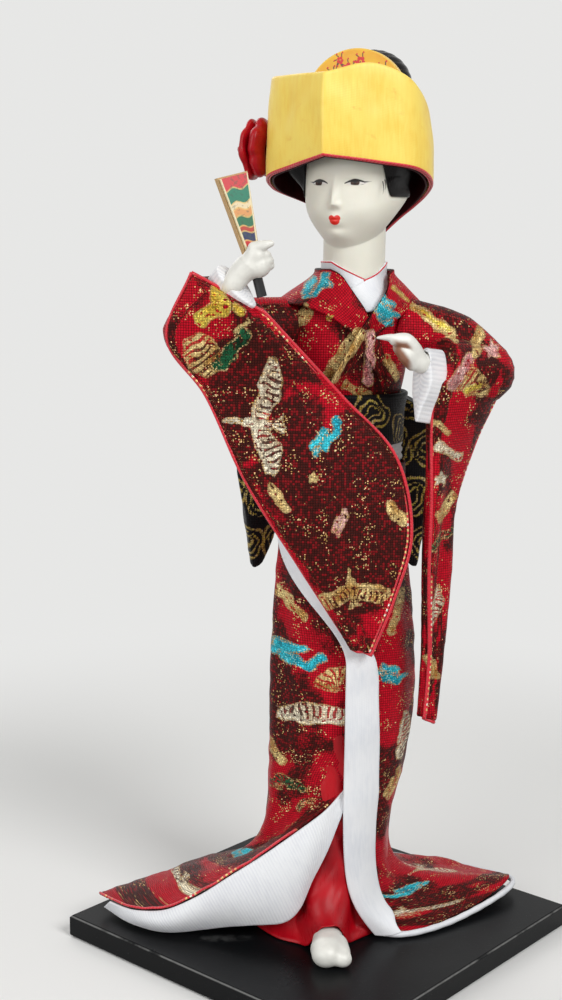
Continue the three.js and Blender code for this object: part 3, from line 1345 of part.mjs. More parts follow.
place('sleeve_right', rightSleeve, MATERIALS.brocade);
place('sleeve_left', leftSleeve, MATERIALS.brocade);
place('cuff_right', cut(cuffShell(rightArm, rightCuff), rightArm.pad(CLEARANCE)), MATERIALS.whiteSilk);
place('cuff_left', cut(cuffShell(leftArm, leftCuff), leftArm.pad(CLEARANCE)), MATERIALS.whiteSilk);
place('hand_right', rightHand, MATERIALS.skin, rightHandGroup);
place('hand_left', leftHand, MATERIALS.skin, leftHandGroup);
place('paddle_board', paddleBoard, MATERIALS.wood, paddleGroup);
place('paddle_grip', paddleGrip, MATERIALS.lacquer, paddleGroup);
place('paddle_print', paddlePrint, MATERIALS.card, paddleGroup);

export default doll;
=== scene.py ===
# Looks for a dressed display doll on a square base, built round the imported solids.
# Shapes are in millimetres from the figure's upright axis and the top of the base until a mesh is made.
import math

import bmesh
import bpy
import numpy as np
from mathutils import Matrix, Vector, noise


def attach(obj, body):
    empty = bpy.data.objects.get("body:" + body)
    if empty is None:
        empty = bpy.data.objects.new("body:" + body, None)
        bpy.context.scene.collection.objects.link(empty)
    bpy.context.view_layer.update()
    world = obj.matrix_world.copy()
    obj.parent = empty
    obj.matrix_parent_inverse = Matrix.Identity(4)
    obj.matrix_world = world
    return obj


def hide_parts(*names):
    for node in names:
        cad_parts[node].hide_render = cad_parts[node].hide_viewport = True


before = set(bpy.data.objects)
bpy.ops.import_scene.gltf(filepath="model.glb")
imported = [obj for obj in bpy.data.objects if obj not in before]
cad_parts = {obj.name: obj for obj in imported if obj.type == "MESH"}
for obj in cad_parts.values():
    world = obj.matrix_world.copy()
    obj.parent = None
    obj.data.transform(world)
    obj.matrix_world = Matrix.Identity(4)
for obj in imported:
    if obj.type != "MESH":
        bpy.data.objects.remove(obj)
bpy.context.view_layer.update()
scene = bpy.context.scene
MM = 0.001

# The part's own sizes
FIGURE_AT = np.array((5.0, 0.0, 8.0))
CLEARANCE = 0.3
BASE_SIDE = 125
BODY_WIDTH = [(118, 17), (176, 16.2), (195, 19.5), (208, 22.5), (224, 7.9)]
BODY_DEPTH = [(118, 13.8), (176, 13.4), (195, 14.6), (208, 13.2), (224, 7.9)]
BODY_TURN = math.radians(12)
NECK_OFFSET = 2.3
HEAD_TURN = math.radians(-31)
NECK_SEAT_LEVEL = 213
NECK_RADIUS = 10.2
CHIN_LEVEL = 233
CHIN_ROUND = 12
JAW_RISE = 6
CROWN_LEVEL = 275
FACE_HALF_WIDTH = 16.4
FACE_FRONT = 16
HEAD_BACK = 17.2
EAR_REACH = 1.4
EAR_LEVEL = 250
HAT_TURN = math.radians(6.4)
HAT_SHIFT = np.array((-2.0, -1.2, 0.0))
HAT_RIDGE = 26
HAT_HALF_WIDTH = 26.4
HAT_NAPE = 24
HAIR_AT = np.array((-2.0, -0.2, 262.0))
HAIR_RADII = np.array((22.6, 20.6, 21.0))
HAIR_HEM_LEVEL = 246.5
HAIRLINE_LEVEL = 263
BUN_AT = np.array((-3.7, 19.8, 285.0))
BUN_RADII = np.array((13.8, 11.0, 11.8))
COMB_AT = np.array((-3.7, 7.3, 277.0))
COMB_RADIUS = 19
COMB_FOOT_LEVEL = 278
COMB_THICKNESS = 2
ROSE_FOOT = 27.35
ROSE_RADIUS = 9.6
ROSE_LEVEL = 264
ROSE_FORWARD = 2.5
NECKLINE_LEVEL = 227
NECKLINE_POINT_LEVEL = 221.5
COLLAR_DROP = 11.5
BODICE_HEM_LEVEL = 160
BODICE_NECK_LEVEL = 217
BODICE_OUT = 1.7
INNER_COLLAR_OUT = 3.6
COLLAR_OUT = 6.8
INNER_COLLAR_WIDTH = 10
COLLAR_WIDTH = 11
COLLAR_THICKNESS = 1
OBI_LEVEL = 168.5
OBI_HEIGHT = 15.5
OBI_OUT = 4.1
SASH_LEVEL = 162.2
SASH_HEIGHT = 6
SASH_OUT = 3.5
SKIRT_TOP = 161.6
SKIRT_THICKNESS = 1.4
KNEE_LEVEL = 52
SKIRT_HALF_WIDTH = 25
SKIRT_HALF_DEPTH = 20.6
SKIRT_DRAW = 5
LEFT_TIP = np.array((-83, 4, 5.5))
RIGHT_TIP = np.array((65, 11, 5))
TRAIN_BACK = 47
HEM_GAP = 1.1
UNDERLAP = 0.55
FACING_WIDTH = 9.5
FACING_THICKNESS = 1.2
HEM_ROLL_RADIUS = 1.5
UNDERSKIRT_TOP = (17.9, 14.7)
UNDERSKIRT_HEM = (26.4, 24.4)
UNDERSKIRT_FORWARD = 6
RIGHT_TOE_X = -4.6
SHOULDERS = {-1: np.array((-24.5, -2, 205)), 1: np.array((24.5, -2, 205))}
ELBOWS = {-1: np.array((-51, -17, 204.5)), 1: np.array((44.5, -13, 192))}
WRISTS = {-1: np.array((-37.6, -31, 222.8)), 1: np.array((20, -29, 197))}
SLEEVE_LIFT = {-1: np.array((0, 0, 0)), 1: np.array((2, 0, 3))}
SLEEVE_ARM_RADIUS = 9
SLEEVE_EDGE = 2.6
SLEEVE_PUFF = {-1: 5.5, 1: 4.4}
CUFF_HALF_WIDTH = 4.3
CUFF_REACH = 9
CUFF_MOUTH = 3.45
CUFFS = {
    -1: {"long": np.array((0.5, -0.15, -0.85)), "half": 8.4, "shift": 1.89, "point": 0.7},
    1: {"long": np.array((0, 0, -1.0)), "half": 11.55, "shift": 7.35, "point": 0.35},
}
PADDLE_AT = np.array((-27.299, -30.532, 233.568))
PADDLE_AXIS = np.array((-0.2599, 0, 0.96564))
PADDLE_FRONT = np.array((0.35, -0.93, 0.1))
PADDLE_BLADE_FOOT = 4.62
PADDLE_BLADE_LENGTH = 24
FRONT = -math.pi / 2
SIDES = ((-1, "right"), (1, "left"))

# Camera, fitted to the photograph
PHOTO_HEIGHT = 1000
FOCAL_PIXELS = 1500
SENSOR = 36
CAMERA_AT = Vector((-0.05353, -0.49751, 0.24098))
CAMERA_HEADING = math.radians(4.325)
CAMERA_PITCH = math.radians(9.723)
CAMERA_ROLL = math.radians(-0.695)


# Numbers and curves


def lerp(a, b, t):
    return a + (b - a) * t


def smooth(x, low, high):
    t = np.clip((np.asarray(x, float) - low) / (high - low), 0, 1)
    return t * t * (3 - 2 * t)


def follow(stations, x):
    """Value at x, eased from each station to the next."""
    x = np.asarray(x, float)
    value = np.full(x.shape, float(stations[0][1]))
    for (x0, y0), (x1, y1) in zip(stations, stations[1:]):
        value = np.where(x > x0, lerp(y0, y1, smooth(x, x0, x1)), value)
    return value


def profile(stations, x):
    """Value at x on a smooth curve through the stations."""
    xs, ys = np.array(stations, float).T
    x = np.asarray(x, float)
    slope = np.gradient(ys, xs)
    k = np.clip(np.searchsorted(xs, x) - 1, 0, len(xs) - 2)
    h = xs[k + 1] - xs[k]
    w = np.clip((x - xs[k]) / h, 0, 1)
    start = (1 + 2 * w) * (1 - w) ** 2 * ys[k] + w * (1 - w) ** 2 * h * slope[k]
    return start + w * w * (3 - 2 * w) * ys[k + 1] + w * w * (w - 1) * h * slope[k + 1]


def catmull(points, t):
    """Point at share t of a centripetal curve through the points."""
    p = np.asarray(points, float)
    n = len(p) - 1
    p = np.vstack((2 * p[0] - p[1], p, 2 * p[-1] - p[-2]))
    t = np.clip(np.asarray(t, float), 0, 1)
    k = np.minimum((t * n).astype(int), n - 1)
    w = (t * n - k)[..., None]
    a, b, c, d = p[k], p[k + 1], p[k + 2], p[k + 3]

    def gap(q, r):
        return np.sqrt(np.maximum(np.linalg.norm(r - q, axis=-1, keepdims=True), 1e-8))

    e, f, g = gap(a, b), gap(b, c), gap(c, d)
    t1 = ((b - a) / e - (c - a) / (e + f) + (c - b) / f) * f
    t2 = ((c - b) / f - (d - b) / (f + g) + (d - c) / g) * f
    return b + t1 * w + (3 * (c - b) - 2 * t1 - t2) * w**2 + (2 * (b - c) + t1 + t2) * w**3


def unit(v):
    return v / np.maximum(np.linalg.norm(v, axis=-1, keepdims=True), 1e-9)


def stack(x, y, z):
    return np.stack(np.broadcast_arrays(x, y, z), -1).astype(float)


def bumps(points, pitch, seed=0.0):
    """Smooth noise from -1 to 1 at each point, with features of about the given size."""
    flat = np.asarray(points, float).reshape(-1, 3) / pitch + seed
    value = np.array([noise.noise(p) for p in flat.tolist()])
    return value.reshape(np.asarray(points).shape[:-1])


# Grids of points and meshes


def grid(point, columns, rows):
    v, u = np.meshgrid(np.linspace(0, 1, rows + 1), np.linspace(0, 1, columns + 1), indexing="ij")
    return point(u, v)


def normals(p):
    return unit(np.cross(np.gradient(p, axis=1), np.gradient(p, axis=0)))


def raised(p, height):
    return p + normals(p) * height[..., None]


def lengths(p):
    """Distance along each row from its middle, and down each column, in millimetres."""
    s = np.zeros(p.shape[:2])
    t = np.zeros(p.shape[:2])
    s[:, 1:] = np.cumsum(np.linalg.norm(np.diff(p, axis=1), axis=-1), axis=1)
    t[1:] = np.cumsum(np.linalg.norm(np.diff(p, axis=0), axis=-1), axis=0)
    return s - s[:, [s.shape[1] // 2]], t


def quads(rows, columns, round_rows=False, round_columns=False):
    j, i = np.meshgrid(
        np.arange(rows if round_rows else rows - 1),
        np.arange(columns if round_columns else columns - 1),
        indexing="ij",
    )
    right, below = (i + 1) % columns, (j + 1) % rows
    faces = (j * columns + i, j * columns + right, below * columns + right, below * columns + i)
    return np.stack(faces, -1).reshape(-1, 4).tolist()


def hairpin(p, half, steps=4):
    """A strip with both faces, its first and last rows rounded over.

    Returns the points in rows, the row of p that each of them follows, and the faces."""
    n = normals(p)
    count, columns = p.shape[:2]
    rows = [p[j] + n[j] * half for j in range(count)]
    source = list(range(count))
    for end, inner, sign in ((-1, -2, 1), (0, 1, -1)):
        out = unit(p[end] - p[inner])
        if end == 0:
            rows += [p[j] - n[j] * half for j in reversed(range(count))]
            source += list(reversed(range(count)))
        for k in range(1, steps):
            a = math.pi * k / steps
            rows.append(p[end] + half * (sign * math.cos(a) * n[end] + math.sin(a) * out))
            source.append(range(count)[end])
    faces = quads(len(rows), columns, round_rows=True)
    for last in (0, columns - 1):
        across = [(j, 2 * count + steps - 2 - j) for j in range(count)]
        for (a, d), (b, c) in zip(across, across[1:]):
            faces.append([k * columns + last for k in (a, b, c, d)])
        faces.append([k * columns + last for k in range(count - 1, count + steps)])
        faces.append([k * columns + last for k in (*range(2 * count + steps - 2, len(rows)), 0)])
    return np.array(rows), source, faces


def to_row(points, on_head=False):
    """Figure millimetres, or the turned head's own, to the shared frame in metres."""
    p = np.asarray(points, float).reshape(-1, 3)
    if on_head:
        c, s = math.cos(HEAD_TURN), math.sin(HEAD_TURN)
        p = np.column_stack((p[:, 0] * c - p[:, 1] * s + NECK_OFFSET, p[:, 0] * s + p[:, 1] * c, p[:, 2]))
    return (p + FIGURE_AT) * MM


def finish_piece(obj, material, body, stands_for=()):
    obj.data.materials.clear()
    obj.data.materials.append(material)
    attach(obj, body)
    if stands_for:
        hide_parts(*stands_for)
    return obj


def build(name, points, faces, fields=None, on_head=False):
    mesh = bpy.data.meshes.new(name)
    mesh.from_pydata(to_row(points, on_head).tolist(), [], faces)
    for key, values in (fields or {}).items():
        attribute = mesh.attributes.new(key, "FLOAT_VECTOR", "POINT")
        attribute.data.foreach_set("vector", np.asarray(values, np.float32).ravel())
    shaped = bmesh.new()
    shaped.from_mesh(mesh)
    bmesh.ops.recalc_face_normals(shaped, faces=shaped.faces)
    shaped.to_mesh(mesh)
    shaped.free()
    mesh.shade_smooth()
    obj = bpy.data.objects.new(name, mesh)
    scene.collection.objects.link(obj)
    return obj


def thicken(obj, thickness, offset=0.0):
    solid = obj.modifiers.new("thickness", "SOLIDIFY")
    solid.thickness = thickness * MM
    solid.offset = offset
    solid.use_even_offset = False
    return obj


def settle(obj):
    """Applies the piece's modifiers to its mesh."""
    bpy.context.view_layer.update()
    shown = obj.evaluated_get(bpy.context.evaluated_depsgraph_get())
    mesh = bpy.data.meshes.new_from_object(shown)
    obj.modifiers.clear()
    obj.data = mesh
    mesh.shade_smooth()
    return obj


def tube(path, radius, sides=8):
    """Points and faces of a round cord along the path, its ends closed flat."""
    p = np.asarray(path, float)
    along = unit(np.gradient(p, axis=0))
    side = np.zeros_like(p)
    side[0] = unit(np.cross(along[0], (0.31, 0.22, 0.92)))
    for k in range(1, len(p)):
        side[k] = unit(side[k - 1] - along[k] * np.dot(side[k - 1], along[k]))
    up = np.cross(along, side)
    radius = np.broadcast_to(np.asarray(radius, float), (len(p),)).copy()
    a = np.linspace(0, 2 * math.pi, sides, endpoint=False)
    ring = side[:, None] * np.cos(a)[None, :, None] + up[:, None] * np.sin(a)[None, :, None]
    points = p[:, None] + ring * radius[:, None, None]
    faces = quads(len(p), sides, round_columns=True)
    faces += [list(range(sides)), list(range((len(p) - 1) * sides, len(p) * sides))]
    return points.reshape(-1, 3), faces


def gather(parts):
    """Several (points, faces) as one."""
    points, faces, start = [], [], 0
    for p, f in parts:
        points.append(np.asarray(p, float).reshape(-1, 3))
        faces += [[i + start for i in face] for face in f]
        start += len(points[-1])
    return np.vstack(points), faces


def run_along(path):
    """Distance along the path at each of its points, in millimetres."""
    return np.concatenate(((0.0,), np.cumsum(np.linalg.norm(np.diff(path, axis=0), axis=1))))


def cord_threads(path, sides=8, step=0.4):
    """Distances round and along a tube on the path, at each of the tube's points."""
    return np.tile(np.arange(sides) * step, len(path)), np.repeat(run_along(path), sides)


def threads(s, t, third=0.0):
    """The field that places a cloth's threads."""
    return {"cloth": stack(np.ravel(s), np.ravel(t), third)}


def folded_strip(name, p, s, t, half, steps=4, on_head=False):
    """A hairpin of cloth from a grid of points and the thread coordinates on it."""
    strip, source, faces = hairpin(p, half, steps)
    return build(name, strip, faces, threads(s[source], t[source]), on_head)


def figured_strip(name, p, fields, half):
    """A hairpin of cloth from a grid of points and the fields on it."""
    strip, source, faces = hairpin(p, half)
    tall = {key: value.reshape(*p.shape)[source].reshape(-1, 3) for key, value in fields.items()}
    return build(name, strip, faces, tall)


def ease_over(obj, voxel, rounds=0):
    """Adds a remesh of the given fineness and rounds of smoothing to the piece's modifiers."""
    remesh = obj.modifiers.new("remesh", "REMESH")
    remesh.mode = "VOXEL"
    remesh.voxel_size = voxel * MM
    if rounds:
        ease = obj.modifiers.new("ease", "SMOOTH")
        ease.factor = 0.5
        ease.iterations = rounds


# Materials


class Graph:
    """A material's nodes. A value is a socket, a number or a colour."""

    def __init__(self, name, **fixed):
        self.material = bpy.data.materials.new(name)
        self.material.use_nodes = True
        self.tree = self.material.node_tree
        self.shader = self.tree.nodes["Principled BSDF"]
        for key, value in fixed.items():
            self.put(self.shader, key.replace("_", " ").title().replace("Ior", "IOR"), value)

    def put(self, node, key, value):
        if isinstance(value, bpy.types.NodeSocket):
            self.tree.links.new(value, node.inputs[key])
        elif isinstance(value, (tuple, list)) and len(value) == 3 and node.inputs[key].type == "RGBA":
            node.inputs[key].default_value = (*value, 1)
        else:
            node.inputs[key].default_value = value

    def node(self, kind, out=0, settings=None, **inputs):
        made = self.tree.nodes.new("ShaderNode" + kind)
        for key, value in (settings or {}).items():
            setattr(made, key, value)
        for key, value in inputs.items():
            self.put(made, int(key[1:]) if key[0] == "_" else key.replace("_", " "), value)
        return made.outputs[out]

    def math(self, operation, a, b=0.0, c=0.0):
        return self.node("Math", settings={"operation": operation}, _0=a, _1=b, _2=c)

    def add(self, a, b):
        return self.math("ADD", a, b)

    def sub(self, a, b):
        return self.math("SUBTRACT", a, b)

    def mul(self, a, b):
        return self.math("MULTIPLY", a, b)

    def scaled(self, value, by, plus):
        return self.math("MULTIPLY_ADD", value, by, plus)

    def largest(self, *values):
        value = values[0]
        for other in values[1:]:
            value = self.math("MAXIMUM", value, other)
        return value

    def least(self, *values):
        value = values[0]
        for other in values[1:]:
            value = self.math("MINIMUM", value, other)
        return value

    def rise(self, value, low, high, to_low=0.0, to_high=1.0):
        """A smooth step of value from low to high."""
        return self.node(
            "MapRange",
            settings={"interpolation_type": "SMOOTHSTEP"},
            _0=value, _1=low, _2=high, _3=to_low, _4=to_high,
        )

    def mix(self, share, a, b, kind="MIX"):
        return self.node("MixRGB", settings={"blend_type": kind}, _0=share, _1=a, _2=b)

    def field(self, name):
        """A vector stored on the mesh."""
        return self.node("Attribute", out=1, settings={"attribute_name": name})

    def parts(self, vector):
        split = self.tree.nodes.new("ShaderNodeSeparateXYZ")
        self.put(split, 0, vector)
        return split.outputs[0], split.outputs[1], split.outputs[2]

    def vector(self, x, y, z=0.0):
        return self.node("CombineXYZ", _0=x, _1=y, _2=z)

    def place(self):
        """The point on the part, in millimetres."""
        point = self.tree.nodes.new("ShaderNodeTexCoord").outputs["Object"]
        return self.node("VectorMath", settings={"operation": "SCALE"}, _0=point, Scale=1 / MM)

    def noise(self, vector, pitch, detail=2.0, stretch=None):
        if stretch:
            vector = self.node("VectorMath", settings={"operation": "MULTIPLY"}, _0=vector, _1=stretch)
        return self.node("TexNoise", Vector=vector, Scale=1.0 / pitch, Detail=detail)

    def chance(self, vector):
        return self.node("TexWhiteNoise", settings={"noise_dimensions": "3D"}, Vector=vector)

    def bump(self, height, distance, strength=1.0):
        """Sets the surface's bump, the height's full range being the given distance in millimetres."""
        made = self.node("Bump", Height=height, Distance=distance * MM, Strength=strength)
        self.put(self.shader, "Normal", made)

    def done(self, colour, roughness=None, metallic=None):
        self.put(self.shader, "Base Color", colour)
        if roughness is not None:
            self.put(self.shader, "Roughness", roughness)
        if metallic is not None:
            self.put(self.shader, "Metallic", metallic)
        return self.material


GOLD = (0.80, 0.54, 0.18)
THREAD = 0.82
GLINT = 0.36
GLUE_AT = (-35.0, -20.5)


def brocade(name, ground, second, second_from, glint):
    """Woven figured cloth: a square grid of floats with dark gaps, glittering motifs and gold glints."""
    g = Graph(name, specular_ior_level=0.08)
    s, t, phase = g.parts(g.field("cloth"))
    cloth = g.vector(s, t)
    cream, teal, gold = g.parts(g.field("ink_a"))
    green, pink, lemon = g.parts(g.field("ink_b"))
    # The first part of the third ink field is painted shade: ovals that mark where the cloth lies in shade.
    dark, _, _ = g.parts(g.field("painted_shade_field"))
    down = g.math("DIVIDE", t, THREAD)
    across = g.math("DIVIDE", s, THREAD)
    row, column = g.math("FLOOR", down), g.math("FLOOR", across)
    chance = g.chance(g.vector(column, row))
    fine_column = g.math("FLOOR", g.math("DIVIDE", s, GLINT))
    fine_row = g.math("FLOOR", g.math("DIVIDE", t, GLINT))
    fine = g.chance(g.vector(fine_column, fine_row, 3.0))

    def hump(value, whole):
        middle = g.scaled(g.sub(value, whole), 2.0, -1.0)
        return g.sub(1.0, g.mul(middle, middle))

    float_height = g.mul(g.math("SQRT", hump(across, column)), g.math("SQRT", hump(down, row)))
    ragged = g.scaled(fine, 0.8, -0.4)
    gap = g.rise(g.math("SINE", phase), 0.1, 0.5, 0.0, 0.92)

    def inside(distance):
        return g.mul(g.rise(g.add(distance, ragged), 0.12, -0.12), g.sub(1.0, gap))

    patch = g.noise(cloth, 24.0, 2.0)
    second_ground_and_painted_shade = g.rise(g.add(patch, g.mul(ragged, 0.05)), second_from - 0.02, second_from + 0.03)
    wander = g.scaled(g.noise(cloth, 5.0, 3.0), 12.0, -6.0)
    # Painted shade: the dark second ground is also laid inside the painted-shade ovals, with wandering
    # edges.
    second_ground_and_painted_shade = g.largest(second_ground_and_painted_shade, g.rise(g.add(dark, g.add(ragged, wander)), 1.2, -1.2))
    mixed = g.mix(g.rise(chance, 0.5, 0.9, 0.0, 0.3), second, ground)
    colour = g.mix(second_ground_and_painted_shade, ground, mixed)
    broken = g.rise(g.noise(cloth, 1.5, 2.0), 0.34, 0.46)
    motif = 0.0
    tone = g.rise(g.noise(cloth, 6.0, 2.0), 0.35, 0.65)
    for distance, ink in (
        (gold, g.mix(tone, (0.46, 0.24, 0.06), (0.84, 0.64, 0.28))),
        (green, g.mix(tone, (0.006, 0.03, 0.012), (0.015, 0.11, 0.045))),
        (pink, g.mix(tone, (0.62, 0.16, 0.17), (0.82, 0.48, 0.44))),
        (teal, g.mix(tone, (0.02, 0.34, 0.44), (0.05, 0.60, 0.72))),
        (lemon, g.mix(tone, (0.62, 0.40, 0.04), (0.92, 0.76, 0.14))),
        (cream, g.mix(tone, (0.62, 0.50, 0.33), (0.90, 0.82, 0.62))),
    ):
        here = inside(distance)
        if distance is not teal:
            here = g.mul(here, broken)
        colour = g.mix(here, colour, ink)
        motif = g.largest(motif, here)
    nearest = g.least(cream, teal, gold, green, pink, lemon)
    edge = g.mul(g.rise(g.math("ABSOLUTE", g.add(nearest, 0.1)), 0.5, 0.2), g.rise(fine, 0.5, 0.6))
    dense = g.scaled(g.rise(g.noise(cloth, 7.0, 2.0), 0.45, 0.7), -0.16, glint)
    sparkle = g.mul(g.rise(fine, dense, g.add(dense, 0.02)), g.scaled(motif, -0.6, 0.9))
    metal = g.largest(g.mul(edge, 0.6), sparkle)
    colour = g.mix(metal, colour, g.mix(chance, (0.62, 0.36, 0.09), (0.86, 0.66, 0.34)))
    glitter = g.add(g.scaled(fine, 0.7, 0.45), g.rise(fine, 0.8, 0.9, 0.0, 0.5))
    plain = g.mul(g.scaled(float_height, 1.15, 0.12), g.scaled(chance, 0.3, 0.85))
    woven = g.mul(g.scaled(float_height, 0.5, 0.62), glitter)
    shade = g.add(g.mul(plain, g.sub(1.0, motif)), g.mul(woven, motif))
    colour = g.mix(1.0, colour, g.vector(shade, shade, shade), "MULTIPLY")
    g.bump(g.scaled(motif, 0.3, float_height), 0.16, 0.7)
    rough = g.scaled(fine, 0.22, 0.34)
    return g.done(colour, rough, g.scaled(g.largest(metal, g.mul(motif, 0.4)), 0.5, 0.03))


def satin(name, colour, shadow, pitch=0.34, ribs=0.0, roughness=0.36,
          sheen=0.25, slubs=0.35, shine=0.4, stain_and_painted_shade=None):
    """Plain shiny cloth with fine threads, and ribs where a rib pitch is given."""
    g = Graph(name, sheen_weight=sheen, sheen_roughness=0.35, roughness=roughness, specular_ior_level=shine)
    cloth = g.field("cloth")
    s, t, _ = g.parts(cloth)
    warp = g.math("SINE", g.mul(s, 2 * math.pi / pitch))
    weft = g.math("SINE", g.mul(t, 2 * math.pi / pitch))
    height = g.mul(g.add(warp, weft), 0.25)
    slub = g.noise(cloth, 1.1, 2.0, (1.0, 0.16, 1.0))
    cloudy = g.noise(cloth, 14.0, 3.0)
    tone = g.add(g.mul(slub, slubs), g.mul(cloudy, 1.0 - slubs))
    if ribs:
        rib = g.math("SINE", g.mul(s, 2 * math.pi / ribs))
        height = g.add(height, g.mul(rib, 0.9))
        tone = g.scaled(rib, 0.1, tone)
    base = g.mix(g.rise(tone, 0.28, 0.62), shadow, colour)
    if stain_and_painted_shade:
        mark = g.mul(g.rise(g.noise(cloth, 7.0, 3.0, (1.0, 1.5, 1.0)), 0.6, 0.75), g.rise(slub, 0.3, 0.6))
        base = g.mix(g.mul(mark, 0.55), base, stain_and_painted_shade)
    g.bump(height, 0.05, 0.6)
    return g.done(base, g.scaled(slub, 0.2, roughness - 0.1))


def coated(name, colour, roughness=0.35, pitch=9.0, coat=0.0, stain_and_painted_shade=None):
    """Painted or moulded surface, faintly uneven in tone and gloss, browned by its stain field, which holds
    painted shade on the left palm.
    """
    g = Graph(name, coat_weight=coat, coat_roughness=0.15)
    place = g.place()
    cloudy = g.noise(place, pitch, 4.0)
    fine = g.noise(place, 0.5, 2.0)
    base = g.mix(g.rise(cloudy, 0.35, 0.7), tuple(0.86 * c for c in colour), colour)
    if stain_and_painted_shade:
        amount, _, _ = g.parts(g.field("stain_and_painted_shade"))
        base = g.mix(amount, base, stain_and_painted_shade)
    g.bump(fine, 0.02, 0.5)
    return g.done(base, g.scaled(cloudy, 0.2, roughness - 0.1))


def dotted_cord(name):
    """Red satin cord, with gold stitches where the cord's third coordinate is set."""
    g = Graph(name, sheen_weight=0.2)
    around, run, gold = g.parts(g.field("cloth"))
    twist = g.math("SINE", g.scaled(run, 5.0, g.mul(around, 2.0)))
    patchy = g.noise(g.vector(0.0, run), 9.0, 2.0)
    stitch = g.mul(gold, g.mul(g.rise(g.math("SINE", g.mul(run, 3.4)), 0.0, 0.3), g.rise(patchy, 0.42, 0.5)))
    red = g.mix(patchy, (0.50, 0.006, 0.018), (0.74, 0.014, 0.035))
    g.bump(twist, 0.05, 0.5)
    thread = g.mix(g.rise(patchy, 0.55, 0.6), (0.78, 0.52, 0.20), (0.80, 0.74, 0.62))
    return g.done(g.mix(stitch, red, thread), g.scaled(twist, 0.06, 0.32), g.mul(stitch, 0.6))


def metal(name, colour):
    g = Graph(name, metallic=1.0)
    streak = g.noise(g.place(), 0.8, 3.0, (1.0, 1.0, 0.1))
    base = g.mix(streak, tuple(0.7 * c for c in colour), colour)
    return g.done(base, g.scaled(streak, 0.25, 0.25))


def wood_grain(name, light, dark):
    g = Graph(name)
    place = g.place()
    grain = g.noise(place, 1.2, 4.0, (1.0, 1.0, 0.12))
    g.bump(grain, 0.04, 0.5)
    return g.done(g.mix(grain, dark, light), g.scaled(grain, 0.2, 0.45))


def padding(name):
    g = Graph(name, sheen_weight=0.4)
    fluff = g.noise(g.place(), 0.9, 5.0)
    g.bump(fluff, 0.4, 0.8)
    return g.done(g.mix(fluff, (0.62, 0.56, 0.46), (0.86, 0.82, 0.74)), 0.9)


def lacquered_base(name):
    """Black sprayed board, its upper edges rubbed pale, with dust, scratches and a smear of glue."""
    g = Graph(name, specular_ior_level=0.1)
    place = g.place()
    x, y, z = g.parts(place)
    half = BASE_SIDE / 2
    edge_x = g.math("ABSOLUTE", g.mul(g.add(x, y), math.sqrt(0.5)))
    edge_y = g.math("ABSOLUTE", g.mul(g.sub(x, y), math.sqrt(0.5)))
    rim = g.rise(g.largest(edge_x, edge_y), half - 0.7, half - 0.3)
    top = g.rise(z, FIGURE_AT[2] - 0.8, FIGURE_AT[2] - 0.4)
    worn = g.mul(g.mul(rim, top), g.rise(g.noise(place, 5.0, 4.0), 0.25, 0.6))
    speck = g.rise(g.noise(place, 0.45, 2.0), 0.70, 0.78)
    film = g.noise(place, 22.0, 4.0)
    dust = g.mul(speck, g.rise(film, 0.4, 0.7))
    scratch = g.rise(g.noise(place, 1.0, 3.0, (0.16, 1.6, 1.0)), 0.66, 0.74)
    glue_x = g.sub(x, GLUE_AT[0])
    glue_y = g.sub(y, GLUE_AT[1])
    near_glue = g.math("SQRT", g.add(g.mul(g.mul(glue_x, glue_x), 0.06), g.mul(glue_y, glue_y)))
    glue = g.mul(g.rise(near_glue, 3.4, 1.0), g.rise(g.noise(place, 3.0, 2.0), 0.35, 0.65))
    colour = g.mix(g.largest(g.mul(dust, 0.35), g.mul(worn, 0.55), g.mul(scratch, 0.04), g.mul(glue, 0.10)),
                   (0.005, 0.0053, 0.006), (0.34, 0.34, 0.33))
    g.bump(g.add(g.noise(place, 0.9, 3.0), g.mul(glue, 3.0)), 0.03, 0.35)
    return g.done(colour, g.add(g.scaled(film, 0.22, 0.2), g.mul(worn, 0.3)))


def face_paint(name):
    """Smooth cast skin with painted lips, lash lines and irises."""
    g = Graph(name, roughness=0.42, subsurface_weight=0.08, subsurface_scale=0.4,
              subsurface_radius=(0.004, 0.002, 0.001))
    lips, lash, iris = g.parts(g.field("paint_a"))
    white, pupil, _ = g.parts(g.field("paint_b"))
    place = g.place()
    cloudy = g.noise(place, 7.0, 3.0)
    colour = g.mix(cloudy, (0.73, 0.71, 0.61), (0.79, 0.77, 0.67))
    colour = g.mix(g.rise(white, 0.08, -0.08, 0.0, 0.8), colour, (0.72, 0.70, 0.68))
    colour = g.mix(g.rise(iris, 0.1, -0.1), colour, (0.045, 0.020, 0.013))
    colour = g.mix(g.rise(pupil, 0.08, -0.08), colour, (0.008, 0.006, 0.006))
    colour = g.mix(g.rise(lash, 0.09, -0.09), colour, (0.012, 0.010, 0.010))
    in_lips = g.rise(lips, 0.12, -0.12)
    lip_tone = g.mix(g.noise(place, 0.8, 3.0), (0.66, 0.010, 0.006), (0.84, 0.030, 0.014))
    colour = g.mix(in_lips, colour, lip_tone)
    g.bump(g.add(g.noise(place, 0.6, 2.0), in_lips), 0.03, 0.5)
    return g.done(colour, g.scaled(in_lips, -0.1, g.scaled(cloudy, 0.15, 0.36)))


def combed_hair(name):
    g = Graph(name, specular_ior_level=0.14)
    cloth = g.field("cloth")
    strand = g.noise(cloth, 0.32, 3.0, (1.0, 0.05, 1.0))
    lock = g.noise(cloth, 2.2, 2.0, (1.0, 0.08, 1.0))
    g.bump(g.add(strand, lock), 0.16, 1.0)
    colour = g.mix(strand, (0.0015, 0.0013, 0.0015), (0.008, 0.006, 0.006))
    return g.done(colour, g.scaled(strand, 0.2, 0.05))


